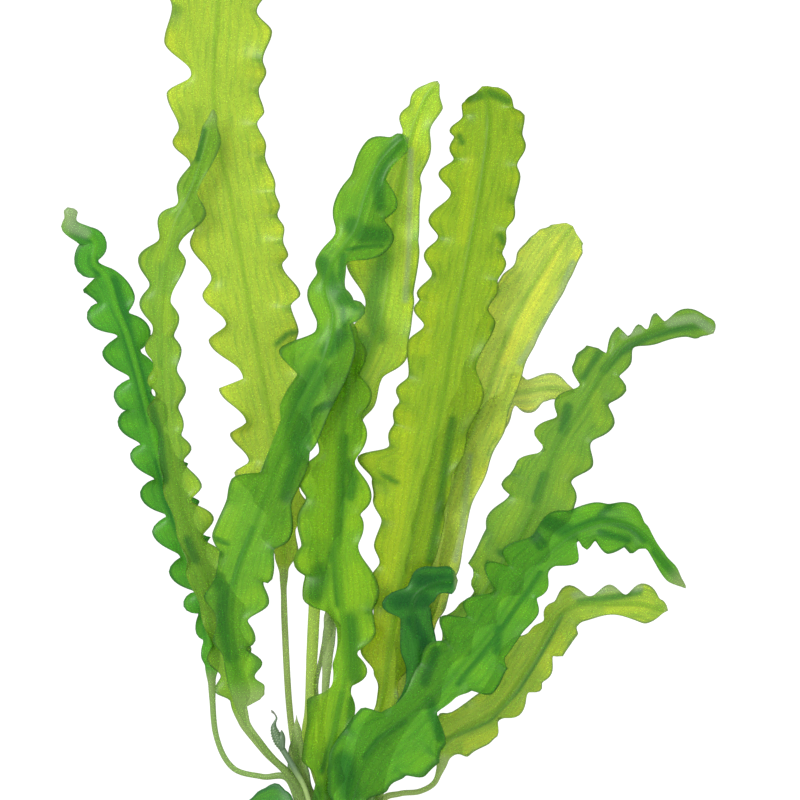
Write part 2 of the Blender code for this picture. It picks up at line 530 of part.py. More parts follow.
def ribbon(sections, diagonals=()):
    """A closed mesh whose end face is drawn out from one cross-section to the next.

    Each pair of corner numbers in diagonals splits the four-sided faces between two sections.
    """
    mesh = bmesh.new()
    cap = mesh.faces.new([mesh.verts.new(point) for point in sections[0]])
    rings = [cap.verts[:]]
    for number, section in enumerate(sections[1:]):
        drawn = bmesh.ops.extrude_face_region(mesh, geom=[cap])
        if number:
            bmesh.ops.delete(mesh, geom=[cap], context="FACES_ONLY")
        cap = next(item for item in drawn["geom"] if isinstance(item, bmesh.types.BMFace))
        for corner, point in zip(cap.verts, section):
            corner.co = point
        rings.append(cap.verts[:])
    for near, far in zip(rings, rings[1:]):
        for start, end in diagonals:
            bmesh.ops.connect_vert_pair(mesh, verts=[near[start], far[end]])
    bmesh.ops.recalc_face_normals(mesh, faces=mesh.faces[:])
    return mesh


def tube_sections(dense, distances, sides):
    """Round cross-sections of a tube whose radius is the fourth number of its rows."""
    sections = []
    for distance in distances:
        row = row_at(dense, distance)
        forward = direction_at(dense, distance)
        across = forward.cross(Vector((0, 0, 1))).normalized()
        normal = across.cross(forward)
        circle = []
        for number in range(sides):
            angle = math.tau * number / sides
            circle.append(Vector(row[1:4]) + (across * math.cos(angle) + normal * math.sin(angle)) * row[4])
        sections.append(circle)
    return sections


def plant_material(name, colour, roughness):
    """A plain leaf or root surface."""
    material = bpy.data.materials.new(name)
    material.use_nodes = True
    shader = material.node_tree.nodes["Principled BSDF"]
    shader.inputs["Base Color"].default_value = (*colour, 1.0)
    shader.inputs["Roughness"].default_value = roughness
    shader.inputs["Metallic"].default_value = 0.0
    return material


def place_object(name, mesh, colour, roughness=0.4):
    """Turn a mesh in table millimetres into an object in metres."""
    for corner in mesh.verts:
        corner.co = (corner.co + Vector((PLANT_SHIFT_X, PLANT_SHIFT_Y, PLANT_SHIFT_Z))) * MM
    data = bpy.data.meshes.new(name)
    mesh.to_mesh(data)
    mesh.free()
    data.materials.append(plant_material(name, colour, roughness))
    piece = bpy.data.objects.new(name, data)
    bpy.context.collection.objects.link(piece)
    return piece


def make_leaf(name, leaf):
    """One leaf, petiole and blade grown as one piece."""
    dense = leaf_rows(leaf)
    margins = {side: margin_marks(leaf, dense, side) for side in (-1, 1)}
    sections = [leaf_section(leaf, dense, margins, distance) for distance in leaf_stations(dense, margins)]
    return place_object(name, ribbon(sections, LEAF_DIAGONALS), leaf["colour"])


def make_bud():
    """The flower bud on its stalk, with its thread tip."""
    start = on_tuber(*BUD_LEAVES_TUBER_AT, CROWN_GAP)
    dense = dense_rows([(start.x, start.y, start.z, BUD_STALK[0][3])] + BUD_STALK)
    distances = [dense[-1][0] * number / BUD_STEPS for number in range(BUD_STEPS + 1)]
    return place_object("flower_bud", ribbon(tube_sections(dense, distances, 6)), BUD_COLOUR)


def root_rows(round_degrees, length, bend):
    """A root's path from inside the tuber down to the surface, then along it."""
    turn = math.radians(round_degrees)
    out = Vector((math.sin(turn), math.cos(turn), 0))
    aside = Vector((out.y, -out.x, 0))
    rows = []
    for share, height, radius in ROOT_PATH:
        along = ROOT_START + (TUBER_HALF.y + length - ROOT_START) * share
        point = TUBER_CENTRE + out * along + aside * bend * share
        rows.append((point.x, point.y, height, radius))
    return rows


def make_tuber():
    """The tuber, a knobbly egg, with its short roots joined on."""
    mesh = bmesh.new()
    bmesh.ops.create_uvsphere(mesh, u_segments=TUBER_SIDES, v_segments=TUBER_RINGS, radius=1.0)
    for corner in mesh.verts:
        way = corner.co.normalized()
        lumps = math.sin(5 * way.x + 2) * math.sin(6 * way.y + 1) * math.cos(4 * way.z)
        size = 1 - TUBER_LUMP * (1 + lumps) / 2
        point = Vector((way.x * TUBER_HALF.x, way.y * TUBER_HALF.y, way.z * TUBER_HALF.z)) * size
        narrowing = 1 - TUBER_TAPER * smooth_step(-way.y)
        corner.co = TUBER_CENTRE + Vector((point.x * narrowing, point.y, point.z))
    tuber = place_object("tuber", mesh, TUBER_COLOUR, 0.7)
    for number, root in enumerate(ROOTS):
        dense = dense_rows(root_rows(*root))
        distances = [dense[-1][0] * step / ROOT_STEPS for step in range(ROOT_STEPS + 1)]
        name = f"root_{number + 1}"
        cutter = place_object(name, ribbon(tube_sections(dense, distances, ROOT_SIDES)), TUBER_COLOUR, 0.7)
        cutter.hide_render = True
        cutter.display_type = "WIRE"
        join = tuber.modifiers.new(name, "BOOLEAN")
        join.operation = "UNION"
        join.solver = "EXACT"
        join.object = cutter
    return tuber


def main():
    for piece in list(bpy.data.objects):
        bpy.data.objects.remove(piece, do_unlink=True)
    for name, leaf in LEAVES.items():
        make_leaf(name, leaf)
    make_bud()
    make_tuber()


main()
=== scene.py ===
"""Looks of a ruffled aponogeton that lies flat on a light table.

Every leaf of the frame is replaced by a fine, closed blade with wavy margins, and the tuber by one
with wrinkled skin and thin roots. The camera looks straight down, as in the photograph.
"""

import math

import bpy
import numpy as np
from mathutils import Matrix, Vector, noise


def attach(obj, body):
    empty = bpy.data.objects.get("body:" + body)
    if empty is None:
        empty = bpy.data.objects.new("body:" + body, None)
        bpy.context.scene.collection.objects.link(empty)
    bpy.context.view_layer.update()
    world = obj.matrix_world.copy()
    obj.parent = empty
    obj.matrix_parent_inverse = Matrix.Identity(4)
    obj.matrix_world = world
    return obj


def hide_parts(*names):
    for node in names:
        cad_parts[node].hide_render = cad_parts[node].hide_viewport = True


MM = 0.001

# Place of the tables' zero point, which lies under the middle of the photograph
PLANT_SHIFT = np.array((5.32, 10.9, -0.68))

# Camera and lights
CAMERA_HEIGHT = 3.612
CAMERA_LENS = 360.0
CAMERA_SENSOR = 36.0
FLOOR_SIZE = 6.0
FLOOR_GLOW = 1.1
GLOW_THROUGH_LEAVES = 0.8
WORLD_LIGHT = 1.0

# Leaf mesh: steps along it and across it, in millimetres and counts
STATION_STEP = 1.1
BLADE_COLUMNS = 28
SPEAR_COLUMNS = 10
SPEAR_WIDTH = 3.0

# Leaf section, in millimetres
PETIOLE_ROUNDNESS = 0.87
PETIOLE_RADIUS = 1.5
SHEATH_HALF_WIDTH = 2.4
BLADE_HALF_THICKNESS = 0.22
MARGIN_HALF_THICKNESS = 0.1
MIDRIB_RISE = 0.35
MIDRIB_RADIUS = 0.9
RUFFLE_START = 3.0
RUFFLE_FULL = 8.0
SIZE_WANDER = 0.2
SIZE_WANDER_RATE = 0.37
SPAN_STEPS = 24
LOOK_AHEAD = 0.8
TIP_ROUNDING = 3.0
NARROWEST_TOOTH = 1.0
RIM_REACH = 0.8
USUAL_STEP = 9.0

# Tuber, in millimetres
TUBER_CENTRE = np.array((-26.0, -203.0, 14.0))
TUBER_HALF = np.array((19.0, 17.0, 13.5))
TUBER_LUMP = 0.06
TUBER_TAPER = 0.3
CROWN_GAP = 1.4
TUBER_SEGMENTS = 144
TUBER_RINGS = 90
WRINKLE_DEPTH = 0.45
SCAR_DEPTH = 0.35
SHEATH_LENGTH = 6.0
SHEATH_FLARE = 0.9

# Roots, in millimetres: steps along them, and their rootlets
ROOT_STEP = 0.8
ROOT_COLUMNS = 12
ROOTLETS_PER_ROOT = 7
ROOTLET_LENGTH = 9.0
ROOTLET_RADIUS = 0.22
ROOTLET_COLUMNS = 6
GOLDEN_TURN = 2.4

# Flower bud, in millimetres: steps along it and the relief of its closed florets
BUD_STEP = 0.22
BUD_COLUMNS = 32
FLORET_RELIEF = 0.22
FLORETS_ROUND = 5
FLORET_TURNS = 2.6

# Material numbers
LEAF_CLEAR = 0.66
# Painted light on the lobes and along light strokes; also the paler own tone of streaks, grain and a light midrib
PAINTED_LIGHT_AND_PALE_GAIN = (1.45, 1.2, 0.9)
# Painted shade in the pleats and where leaves lie folded; also the darker random lengthwise streaks
SHADE_AND_STREAK_GAIN = (0.27, 0.52, 0.75)
RIB_GAIN = (0.55, 0.74, 0.6)
VEIN_GAIN = (0.6, 0.8, 0.9)
# Painted shade along the margin, where light crosses the thin edge aslant
RIM_SHADE_GAIN = (0.5, 0.58, 1.2)
FADED_COLOUR = (0.30, 0.42, 0.22)
PETIOLE_COLOUR = (0.30, 0.42, 0.14)
VEINS_PER_HALF = 6.0
RUNG_STEP = 2.4
RUFFLE_FALL = 2.4

# Leaves, with the same shapes as in the frame: where each leaves the tuber (degrees round and up),
# the teeth and notches of its left and right margin by turns from the tip (x, y), the depth of its
# other teeth, how far a lobe bulges over its notches, the height of a ruffle, its colour, strokes of
# painted shade where the leaf lies folded, strokes of painted light and strokes of faded colour
# (x, y points and a half width), how plain its midrib is (below 0 a light line), and its midrib as
# rows of x, y, z, half width and turn.
LEAVES = {
    "tall_leaf": {
        "leaves_tuber_at": (-30, -15),
        "left": ((-104.5, 185.5), (-102, 176.5), (-105.5, 163), (-93, 146), (-104.5, 138.5), (-99, 124),
            (-102, 117), (-94, 106.5), (-97, 94.5), (-91.5, 78.5), (-94, 70.5), (-84.5, 56),
            (-88.5, 48), (-77.5, 34), (-85.5, 26.5), (-69.5, 10.5), (-81, 5), (-68.5, -10),
            (-76, -15.5), (-67.5, -27), (-74, -32.5), (-65.5, -44)),
        "right": ((-58.5, 165), (-62.5, 153.5), (-61, 148.5), (-64.5, 139.5), (-62, 130.5),
            (-65, 123.5), (-61, 114.5), (-61.5, 109), (-57, 98), (-57, 93.5), (-55, 88.5), (-56, 83),
            (-53, 78), (-53.5, 72), (-51, 65), (-54, 61), (-45.5, 47), (-50, 42.5), (-46.5, 31.5),
            (-48, 23.5)),
        "tooth": 2.6, "bulge": 0, "ruffle": 3.6,
        "colour": (0.38, 0.535, 0.05),
        "fold_shade_strokes": (((-56, 25), (-50.5, 30), (-45, 31), 1.4),),
        "rib": 0.6, "slot": "pale_leaf",
        "midrib": [
            (-40, -178, 11, 1.8, 0), (-46.6, -161, 8, 1.5, 0), (-50, -137, 6, 1.5, 0),
            (-52, -101, 5, 1.5, 0), (-52.5, -80, 5, 1.7, 0), (-52.5, -68, 5, 5.5, 0),
            (-53, -50, 5, 10, 0), (-57, -19, 5, 14, 0), (-63, 14, 5, 18, 0),
            (-68, 42, 5, 20, 0), (-76, 88, 5, 20.5, 0), (-84, 135, 5, 20.5, 0), (-82, 180, 5, 20, 0),
            (-80, 212, 5, 14, 0), (-79, 230, 5, 7, 0), (-79, 238, 5, 1.2, 0),
        ],
    },
    "inner_left_leaf": {
        "leaves_tuber_at": (-50, 10),
        "left": ((-88.5, 121.5), (-91.5, 109), (-99.5, 97), (-99.5, 88), (-108, 82), (-107.5, 72.5),
            (-117, 64), (-112, 52), (-116.5, 43.5), (-110, 31.5), (-114, 24), (-109.5, 15.5),
            (-113, 9), (-106.5, 3.5), (-113, -5), (-107.5, -15), (-108, -25),
            (-106, -34), (-105.5, -42), (-100, -52), (-99, -62), (-94.5, -71), (-95, -80), (-90, -90),
            (-88, -100), (-83.5, -110), (-86, -117), (-80, -124), (-82.5, -131), (-75.5, -135.5)),
        "right": ((-81.5, 115), (-92, 93.5), (-88, 83), (-100.5, 69), (-97, 62), (-104, 44.5),
            (-100, 37), (-102.5, 29.5), (-99, 22.5), (-101, 13.5), (-97, 5), (-100.5, -3.5), (-98, -11),
            (-99, -15.5), (-94.5, -22), (-98, -27.5), (-90, -38), (-94.5, -45.5), (-84.5, -53),
            (-89.5, -62.5), (-80, -70), (-82, -77.5)),
        "tooth": 2.0, "bulge": 0.6, "ruffle": 2.8,
        "colour": (0.22, 0.415, 0.04),
        "fold_shade_strokes": (((-111.5, -3.5), (-108, -18), (-106, -36), 2.2), ((-92, -72), (-95.5, -63), 2.2),
            ((-88, 121.5), (-91, 108), 1.4)),
        "lights": (((-103.5, 79), (-108, 65), 3.6), ((-106, 45), (-104.5, 31.5), 2.7),
            ((-110, 12.5), (-112.5, 9), 2.7), ((-94.5, -36), (-88, -52), 2.7)),
        "rib": 0.3, "slot": "green_leaf",
        "midrib": [
            (-47, -172, 15, 1.8, 0), (-61, -158, 13, 1.6, 0), (-71.5, -144, 13, 1.8, 0),
            (-74, -129, 14, 6, 0), (-81, -101, 14, 11, 0), (-91, -71, 14, 12, 0),
            (-101, -40, 14, 10, 0), (-106, -9, 14, 8, 0), (-108, 19, 14, 7.5, 0),
            (-107, 45, 14, 7.5, 0), (-105, 64, 14, 8, 0), (-101, 79, 14, 8, 0), (-95, 91, 14, 5.5, 0),
            (-90, 105, 14, 5, 0), (-85.5, 120, 14, 3.5, 0), (-84, 131, 14, 1, 0),
        ],
    },
    "outer_left_leaf": {
        "leaves_tuber_at": (-60, -20),
        "left": ((-152.5, 87.5), (-150.5, 83), (-151.5, 76.5), (-143, 70), (-146, 61), (-137, 55.5),
            (-144, 50.5), (-136, 44), (-140.5, 37), (-126.5, 29), (-133.5, 20.5), (-121, 10),
            (-128.5, 2), (-123, -4.5), (-126.5, -11), (-116.5, -20), (-121, -25.5), (-110, -35),
            (-116.5, -43), (-104.5, -52), (-111, -60), (-98, -70.5), (-103.5, -78), (-92, -86.5),
            (-97, -92.5), (-90, -96.5), (-91.5, -103.5), (-87.5, -108.5), (-89, -115), (-83.5, -120.5)),
        "right": ((-146, 86.5), (-146, 80), (-133, 69), (-137, 61.5), (-120.5, 47.5), (-123, 39.5),
            (-113.5, 32), (-118.5, 22), (-110, 12.5), (-113.5, 3), (-105.5, -4.5), (-107.5, -13.5)),
        "tooth": 2.6, "bulge": 1.8, "ruffle": 3.0,
        "colour": (0.08, 0.335, 0.028),
        "fold_shade_strokes": (((-146, 84.5), (-147.5, 75.5), (-138.5, 72), 1.8), ((-138.5, 64), (-136, 57.5), 2.2),
            ((-129.5, 53), (-125, 40.5), (-122.5, 27), (-117, 9), (-112.5, -9), 3.1),
            ((-108, -28), (-104.5, -45), (-97, -63), (-90, -72), 3.1), ((-88, -90), (-84.5, -108), 2.7)),
        "lights": (((-123.5, 49.5), (-120.5, 47.5), 2.7), ((-135, 38), (-132.5, 37), 2.7),
            ((-118.5, 34), (-116, 29), 3.1), ((-129.5, 21.5), (-126, 20.5), 2.2),
            ((-125, 2), (-121.5, 1), 2.2), ((-122.5, -11), (-119.5, -11.5), 2.2),
            ((-118, -26), (-115, -27), 2.2), ((-106, -58.5), (-102.5, -61), 3.6),
            ((-100, -77.5), (-97, -77.5), 2.2), ((-87.5, -112.5), (-86.5, -116), 2.2)),
        "faded": (((-152, 87.5), (-147.5, 84.5), (-148.5, 78.5), (-142, 75.5), 2.7),),
        "rib": -0.8, "slot": "green_leaf",
        "midrib": [
            (-50, -171.2, 9, 1.6, 0), (-62, -169.8, 6, 1.3, 0), (-75.5, -165.8, 4, 1.3, 0),
            (-83, -151, 4, 1.3, 0), (-85, -126, 4.5, 2, 0), (-86, -108, 4.8, 7, 0),
            (-89, -85, 4.8, 9, 0), (-98, -62, 4.8, 9.5, 0), (-107, -32, 4.8, 9.5, 0),
            (-115, 0, 4.8, 9.5, 0), (-122, 26, 4.8, 9, 0), (-128, 42, 4.8, 8.5, 0),
            (-132, 55, 4.6, 7.5, 0), (-138, 62, 4.4, 5, 0), (-137.5, 71, 4.2, 5, 0),
            (-142, 75.5, 4, 3.5, 0), (-148, 80, 4, 2.4, 0), (-150, 87, 4, 1, 0),
        ],
    },
    "twisted_leaf": {
        "leaves_tuber_at": (-42, 28),
        "left": ((-14.5, 116), (-21, 101.5), (-29, 88), (-29.5, 73), (-36.7, 64), (-36, 56.5),
            (-41.5, 45), (-37.5, 32.5), (-53.5, 22), (-45, 11.5), (-52.5, -1), (-53, -11),
            (-57.5, -22.5), (-61, -31.5), (-75.5, -37), (-77.5, -46), (-83.5, -60), (-80, -68.5)),
        "right": ((2, 111.5), (-7, 100), (-2, 87), (-7.5, 81.5), (-3.5, 72), (-24.5, 61), (-25, 53),
            (-22, 44.5),
            (-15.5, 40), (-22, 33), (-21, 20), (-29, 1), (-37, -17), (-41, -23), (-42.5, -31),
            (-49, -45), (-49.5, -61), (-57, -67), (-58, -80), (-62, -81.5), (-59.5, -91), (-69, -98.5),
            (-65.5, -107.5), (-69.5, -111.5), (-62.5, -118), (-66, -124), (-61.5, -128.5),
            (-61.5, -132), (-63.5, -135), (-69.5, -138)),
        "tooth": 2.2, "bulge": 1.2, "ruffle": 2.8,
        "colour": (0.155, 0.39, 0.028),
        "fold_shade_strokes": (((0, 117), (-7, 108), (-10, 98), (-9, 87.5), 3.1),
            ((-21.5, 78.5), (-17, 74.5), (-8, 74), 4.5), ((-24, 67.5), (-16, 69), (-7, 69.5), 1.1),
            ((-35, 62), (-32, 56), (-29, 49.5), (-25.5, 44), 3.6),
            ((-25.5, 65), (-26.5, 56), (-25, 47), (-20, 41), (-16, 39.5), 1.8),
            ((-25.5, 41.5), (-25, 33.5), 1.4), ((-26.5, 29), (-32.5, 21.5), 4),
            ((-37, 12.5), (-43.5, 1), (-46, -11), (-45, -23.5), 5.9),
            ((-31.5, -2), (-38, -4.5), (-41, -10), (-41, -18), 1.8),
            ((-46, -27), (-49.5, -35), (-51.5, -43), 3.1),
            ((-66, -57.5), (-69, -65), (-72, -72), (-75, -83), 1.4),
            ((-85, -61.5), (-77.5, -64.5), 1.1),
            ((-85.5, -76.5), (-79, -85.5), (-80, -99), (-75.5, -115), 3.6)),
        "lights": (((-12.5, 112.5), (-21.5, 96.5), 4), ((-25, 80), (-28, 70.5), 2.2),
            ((-38.5, 45), (-34, 37), 3.6), ((-75.5, -50.5), (-80, -63), 4),
            ((-65, -86.5), (-69, -90), 3.1), ((-69, -117), (-66.5, -130.5), 2.7)),
        "rib": 0.7, "slot": "dark_leaf",
        "midrib": [
            (-46, -173, 21, 1.8, 0), (-60.3, -157, 22, 1.5, 0), (-72.3, -137, 23, 1.6, 0),
            (-75, -112, 23, 6, 0), (-75, -86, 23, 11, 0), (-66, -58, 22, 12, 0),
            (-55, -29, 24, 12.5, 0), (-44, -2, 30, 12.5, 0), (-34, 18, 31, 11, 0), (-30, 36, 29, 8, 15),
            (-33, 50, 25, 7, 25), (-30, 62, 20, 8, 10), (-20, 76, 17, 12, 0), (-15, 92, 15, 12, 0),
            (-9, 106, 14, 10, 0), (-1, 115, 14, 6, 0), (4, 118, 14, 1, 0),
        ],
    },
    "pale_back_leaf": {
        "leaves_tuber_at": (-15, 0),
        "left": ((6, 137.5), (5, 133), (0.5, 128), (2, 121), (-3.5, 108), (-7, 98), (-12.5, 86.5),
            (-15.5, 76.5), (-23.5, 63), (-15, 41.5), (-21.5, 30.5), (-22.5, 21.5)),
        "right": ((18.5, 131.5), (13, 122.5), (13, 111.5), (8.5, 101), (9, 94.5), (7.5, 72), (8, 66),
            (5.5, 49.5), (5.5, 42.5), (3.5, 29), (2.5, 19.5), (-8.5, 10.5), (-12, -2), (-17.5, -9),
            (-17.5, -15.5), (-21.5, -21.5), (-21.5, -31.5), (-24.5, -40.5)),
        "tooth": 1.8, "bulge": 0.5, "ruffle": 2.4,
        "colour": (0.395, 0.59, 0.05),
        "fold_shade_strokes": (((-17, 25), (-21.5, 11), (-18, -2), 6.3), ((-7, 64), (-12.5, 45), (-10, 29), 4.5)),
        "lights": (((9, 135), (5.5, 108), (3.5, 76.5), (2, 53), 1.8),),
        "faded": (((5, 112.5), (4.5, 90), (3.5, 63), (2.5, 45), 1.4),),
        "rib": 0.7, "slot": "pale_leaf",
        "midrib": [
            (-36, -172, 12, 2.4, 0), (-41, -153, 9, 3.1, 0), (-40.5, -138, 9, 2.4, 0),
            (-39.5, -112, 9, 2.6, 0),
            (-37.5, -81, 12, 3.2, 0), (-33, -50, 13, 7.5, 0), (-28, -22, 13, 8, 0), (-22, 1, 13, 10.5, 0),
            (-12, 22, 11, 13, 0), (-6, 47, 8, 12.5, 0), (-3, 76, 5, 11, 0), (1, 100, 4, 8.5, 0),
            (6, 122, 4, 7, 0), (11, 135, 4, 6, 0), (16, 142, 4, 3, 0), (17, 144, 4, 1, 0),
        ],
    },
    "centre_leaf": {
        "leaves_tuber_at": (-3, 45),
        "left": ((-39, -5.5), (-35.5, -22.5), (-45, -35), (-41.5, -43.5), (-45.5, -54), (-43.5, -65),
            (-47, -73), (-42, -79), (-43, -88), (-31.5, -95.5), (-25.5, -102.5), (-29.5, -119),
            (-29.5, -127), (-41, -135), (-41.5, -148.5), (-43.5, -161)),
        "right": ((-15.5, -16), (-21, -28), (-13.5, -43), (-18.5, -51.5), (-17, -56.5), (-19.5, -65.5),
            (-10, -85.5), (-13, -95.5), (-11.5, -103.5), (-20, -113.5), (-15.5, -122.5), (-23.5, -129),
            (-21, -140.5), (-25, -152)),
        "tooth": 2.4, "bulge": 1.2, "ruffle": 2.6,
        "colour": (0.185, 0.41, 0.018),
        "fold_shade_strokes": (((-25, -17), (-26, -31.5), (-26.5, -47), (-28, -63), (-31, -72), 2.2),
            ((-24, -28), (-21, -35), (-22.5, -43), 2.7), ((-29.5, -66.5), (-29, -79), (-28, -92), 1.4),
            ((-35, -77.5), (-38, -86.5), 5), ((-22.5, -99), (-21.5, -112.5), (-20, -124), 4),
            ((-26, -131.5), (-30, -151), (-35, -166.5), 1.4), ((-21.5, -135), (-22.5, -148.5), 2.2),
            ((-45, -175.5), (-36, -178), 6.3)),
        "lights": (((-35, -5.5), (-33, -22.5), (-34, -40.5), (-35, -58.5), 4),
            ((-17, -44), (-21.5, -56), 2.7), ((-20, -76.5), (-20, -90), 3.6),
            ((-34, -135), (-37, -153), 4)),
        "rib": 0.7, "slot": "green_leaf",
        "midrib": [
            (-34, -182, 24, 4.5, 0), (-32, -164, 26, 7, 0), (-27, -138, 25, 8.5, 0),
            (-24, -115, 24, 9.5, 0), (-27, -83, 23, 11.5, 0),
            (-28, -54, 22, 12, 0), (-27, -25, 22, 12, 0), (-24, 4, 22, 9, 0), (-23, 28, 21, 5, 0),
            (-23, 37, 21, 1, 0),
        ],
    },
    "broad_leaf": {
        "leaves_tuber_at": (20, 15),
        "left": ((32.5, 140.5), (30, 136), (28.5, 132.5), (29, 128.5), (23, 121), (25, 117.5),
            (23, 114), (25, 109), (18, 101.5),
            (23.5, 92), (13.5, 81), (18, 74), (11.5, 65.5), (15, 56), (8, 47), (9.5, 45), (7, 41.5),
            (11.5, 33.5), (4, 25), (4.5, 11), (-1, 5), (0.5, -0.5), (-2.5, -6), (-2, -10.5),
            (-4.5, -15.5), (-4, -20), (-18.5, -26.5), (-12, -36.5), (-11.5, -45), (-7.5, -54.5),
            (-11, -65),
            (-8.5, -73.5), (-12.5, -80.5), (-11, -91),
            (-11.5, -101), (-10.5, -104), (-17, -112), (-11, -122), (-8.5, -131), (-8, -138)),
        "right": ((50, 135), (50.5, 131.5), (55.5, 128), (54.5, 121), (56, 114.5), (52, 106),
            (53.5, 100), (51, 89.5), (51, 83), (47, 76.5), (47, 71), (45.5, 67.5), (47, 61), (43, 53),
            (43.5, 49.5), (39, 41.5), (42, 34), (33.5, 15.5), (37, 2.5), (29.5, -15.5), (28.5, -22.5),
            (22.5, -34), (22, -40.5), (19, -50.5), (19, -56.5), (16, -68.5)),
        "tooth": 1.9, "bulge": 0.4, "ruffle": 2.8,
        "colour": (0.27, 0.43, 0.022),
        "fold_shade_strokes": (((-7.5, -33.5), (-2, -37), 1.4),
            ((23.5, -9), (20.5, -27), (17, -54), (13.5, -72), 2.2), ((45, 74), (46.5, 71), 1.8),
            ((48, 45), (41.5, 31.5), 1.4), ((27, 119), (28, 116), 1.4),
            ((31.5, 136), (40.5, 138.5), (48.5, 135), 2.2)),
        "lights": (((3.5, -9), (-1, -54), (-6.5, -81), 3.6), ((31.5, 108), (28, 72), 2.7),
            ((14.5, 45), (11, 22.5), 2.7), ((-9, -99), (-11, -117), 4)),
        "rib": 0.7, "slot": "green_leaf",
        "midrib": [
            (-21, -176, 17, 3.5, 0), (-15, -155, 16, 4.5, 0), (-8, -135, 15, 6.5, 0),
            (-4, -108, 15, 10, 0), (1, -80, 17, 13, 0), (9, -46, 20, 16, 0), (18, -6, 20.5, 17, 0),
            (25, 36, 20, 17, 0), (32, 71, 15, 16, 0), (37, 99, 10, 16, 0), (40, 122, 6, 14, 0),
            (39.5, 134, 5, 12, 0), (38, 139.5, 5, 8.5, 0), (37, 141.5, 5, 3, 0),
        ],
    },
    "pale_right_leaf": {
        "leaves_tuber_at": (28, -8),
        "left": ((73, 79.5), (68, 78), (63, 76), (58.5, 72), (54, 67), (52, 60.5),
            (46.5, 55.5), (43, 49)),
        "right": ((80.5, 75), (82, 71), (81.5, 66), (76, 55), (72, 47), (65.5, 36), (60.5, 26),
            (55.5, 16), (53.5, 8.5),
            (48.5, -4), (46.5, -13.5), (40.5, -25), (38, -33.5), (31, -48.5), (28.5, -61), (26, -75.5)),
        "tooth": 0.6, "bulge": 0, "ruffle": 1.2,
        "colour": (0.465, 0.59, 0.085),
        "lights": (((72, 72), (61, 45), (47, 18), 2.7),),
        "faded": (((78, 62), (68.5, 39.5), (54, 17), 1.4), ((31.5, -25), (28, -58.5), (25, -72), 1.4)),
        "rib": 0.7, "slot": "pale_leaf",
        "midrib": [
            (-15, -176, 11, 2.6, 0), (-8, -153, 9, 2.5, 0), (0, -135, 8, 3, 0), (5, -112, 9, 7, 0),
            (15, -73, 12, 12, 0), (24, -37, 12, 13.5, 0), (38, 0, 11, 13.5, 0), (51, 36, 8, 13.5, 0),
            (65, 60, 5, 13, 0), (72, 71, 3.5, 11, 0), (76, 76.5, 3.5, 8, 0), (78, 78.5, 3.5, 1.5, 0),
        ],
    },
    "hooked_back_leaf": {
        "leaves_tuber_at": (45, -30),
        "left": ((68.5, 11.5), (58, 8.5), (50.5, 11.5), (47, 3.5)),
        "right": ((70, 1), (65, 0), (59, -5), (51.5, -2), (48, -11), (44.5, -16)),
        "tooth": 1.2, "bulge": 0.5, "ruffle": 1.6,
        "colour": (0.49, 0.6, 0.115),
        "faded": (((54, 12.5), (65, 12.5), 1.4),),
        "rib": 0.7, "slot": "pale_leaf",
        "midrib": [
            (-9, -172, 6, 1.8, 0), (0, -144, 4, 1.4, 0), (11, -108, 3, 1.5, 0), (22, -65, 3, 3, 0),
            (30, -35, 3, 6, 0), (39, -12, 3, 7, 0), (48, 1, 3, 7, 0), (58, 4, 3, 6.5, 0),
            (68, 5.5, 3, 5.5, 0), (76, 4, 3, 3, 0), (79, 3, 3, 0.8, 0),
        ],
    },
    "right_leaf": {
        "leaves_tuber_at": (52, 0),
        "left": ((129.5, 40.5), (119, 34.5), (115, 38.5), (111.5, 31), (108, 33.5), (104, 26.5),
            (99.5, 33), (93.5, 20.5), (85, 24.5), (80, 20), (78.5, 15.5), (82, 7), (70.5, 0),
            (71, -8), (61, -14), (66.5, -23), (53, -28.5), (50.5, -33),
            (46.5, -37.5), (50, -43), (40, -52.5), (39, -59), (31.5, -73.5), (34, -75.5), (32.5, -82),
            (35, -87.5)),
        "right": ((139.5, 27), (132.5, 28.5), (117, 26.5), (105.5, 24.5), (103, 16), (98, 11),
            (101, 4), (93.5, -1.5), (95.5, -11.5), (85.5, -18.5), (86, -29.5), (76.5, -36.5),
            (78.5, -45.5),
            (75.5, -54)),
        "tooth": 2.4, "bulge": 0.9, "ruffle": 2.8,
        "colour": (0.18, 0.37, 0.04),
        "fold_shade_strokes": (((137, 34), (126, 32.5), (112.5, 29), (99, 21.5), (92, 13.5), 2.2),
            ((82.5, 10), (90, 21.5), 1.8), ((75.5, -3.5), (73.5, -13.5), 2.7),
            ((65, -34), (61, -45), 2.2), ((45, -68.5), (57, -75.5), 1.6),
            ((39.5, -73.5), (43.5, -86.5), 1.6), ((29, -112.5), (45, -95.5), (57.5, -77.5), 1.4)),
        "lights": (((82.5, 17), (84.5, 15.5), 2.7), ((88, 2), (90, -10), 2.7),
            ((76.5, -27), (72, -40.5), 3.6), ((53, -47), (46, -61), 3.6), ((36, -65), (38, -85.5), 2.2)),
        "faded": (((140.5, 31.5), (133, 37), (121.5, 35), 2.2), ((108, 31.5), (101, 29), 1.8)),
        "rib": 0.7, "slot": "green_leaf",
        "midrib": [
            (-9, -170, 13, 2.6, 0), (-1, -149, 12, 3, 0), (18, -119, 12, 6, 0), (35, -91, 12, 10, 0),
            (52, -65, 12, 14, 0), (62, -45, 12, 15, 0), (70, -22, 12, 14, 0), (82, -3, 11, 12, 0),
            (93, 15, 8, 8, 0), (102, 26, 6.5, 5.5, 0), (113, 30, 5.5, 5, 0), (128, 35, 4.5, 5.5, 0),
            (137.5, 33.5, 4, 5.5, 0), (141.5, 30, 4, 1.5, 0),
        ],
    },
    "arching_leaf": {
        "leaves_tuber_at": (15, 55),
        "left": ((123.5, -75), (119, -70), (115, -65), (111, -57), (103, -47), (93, -47.5), (86, -47),
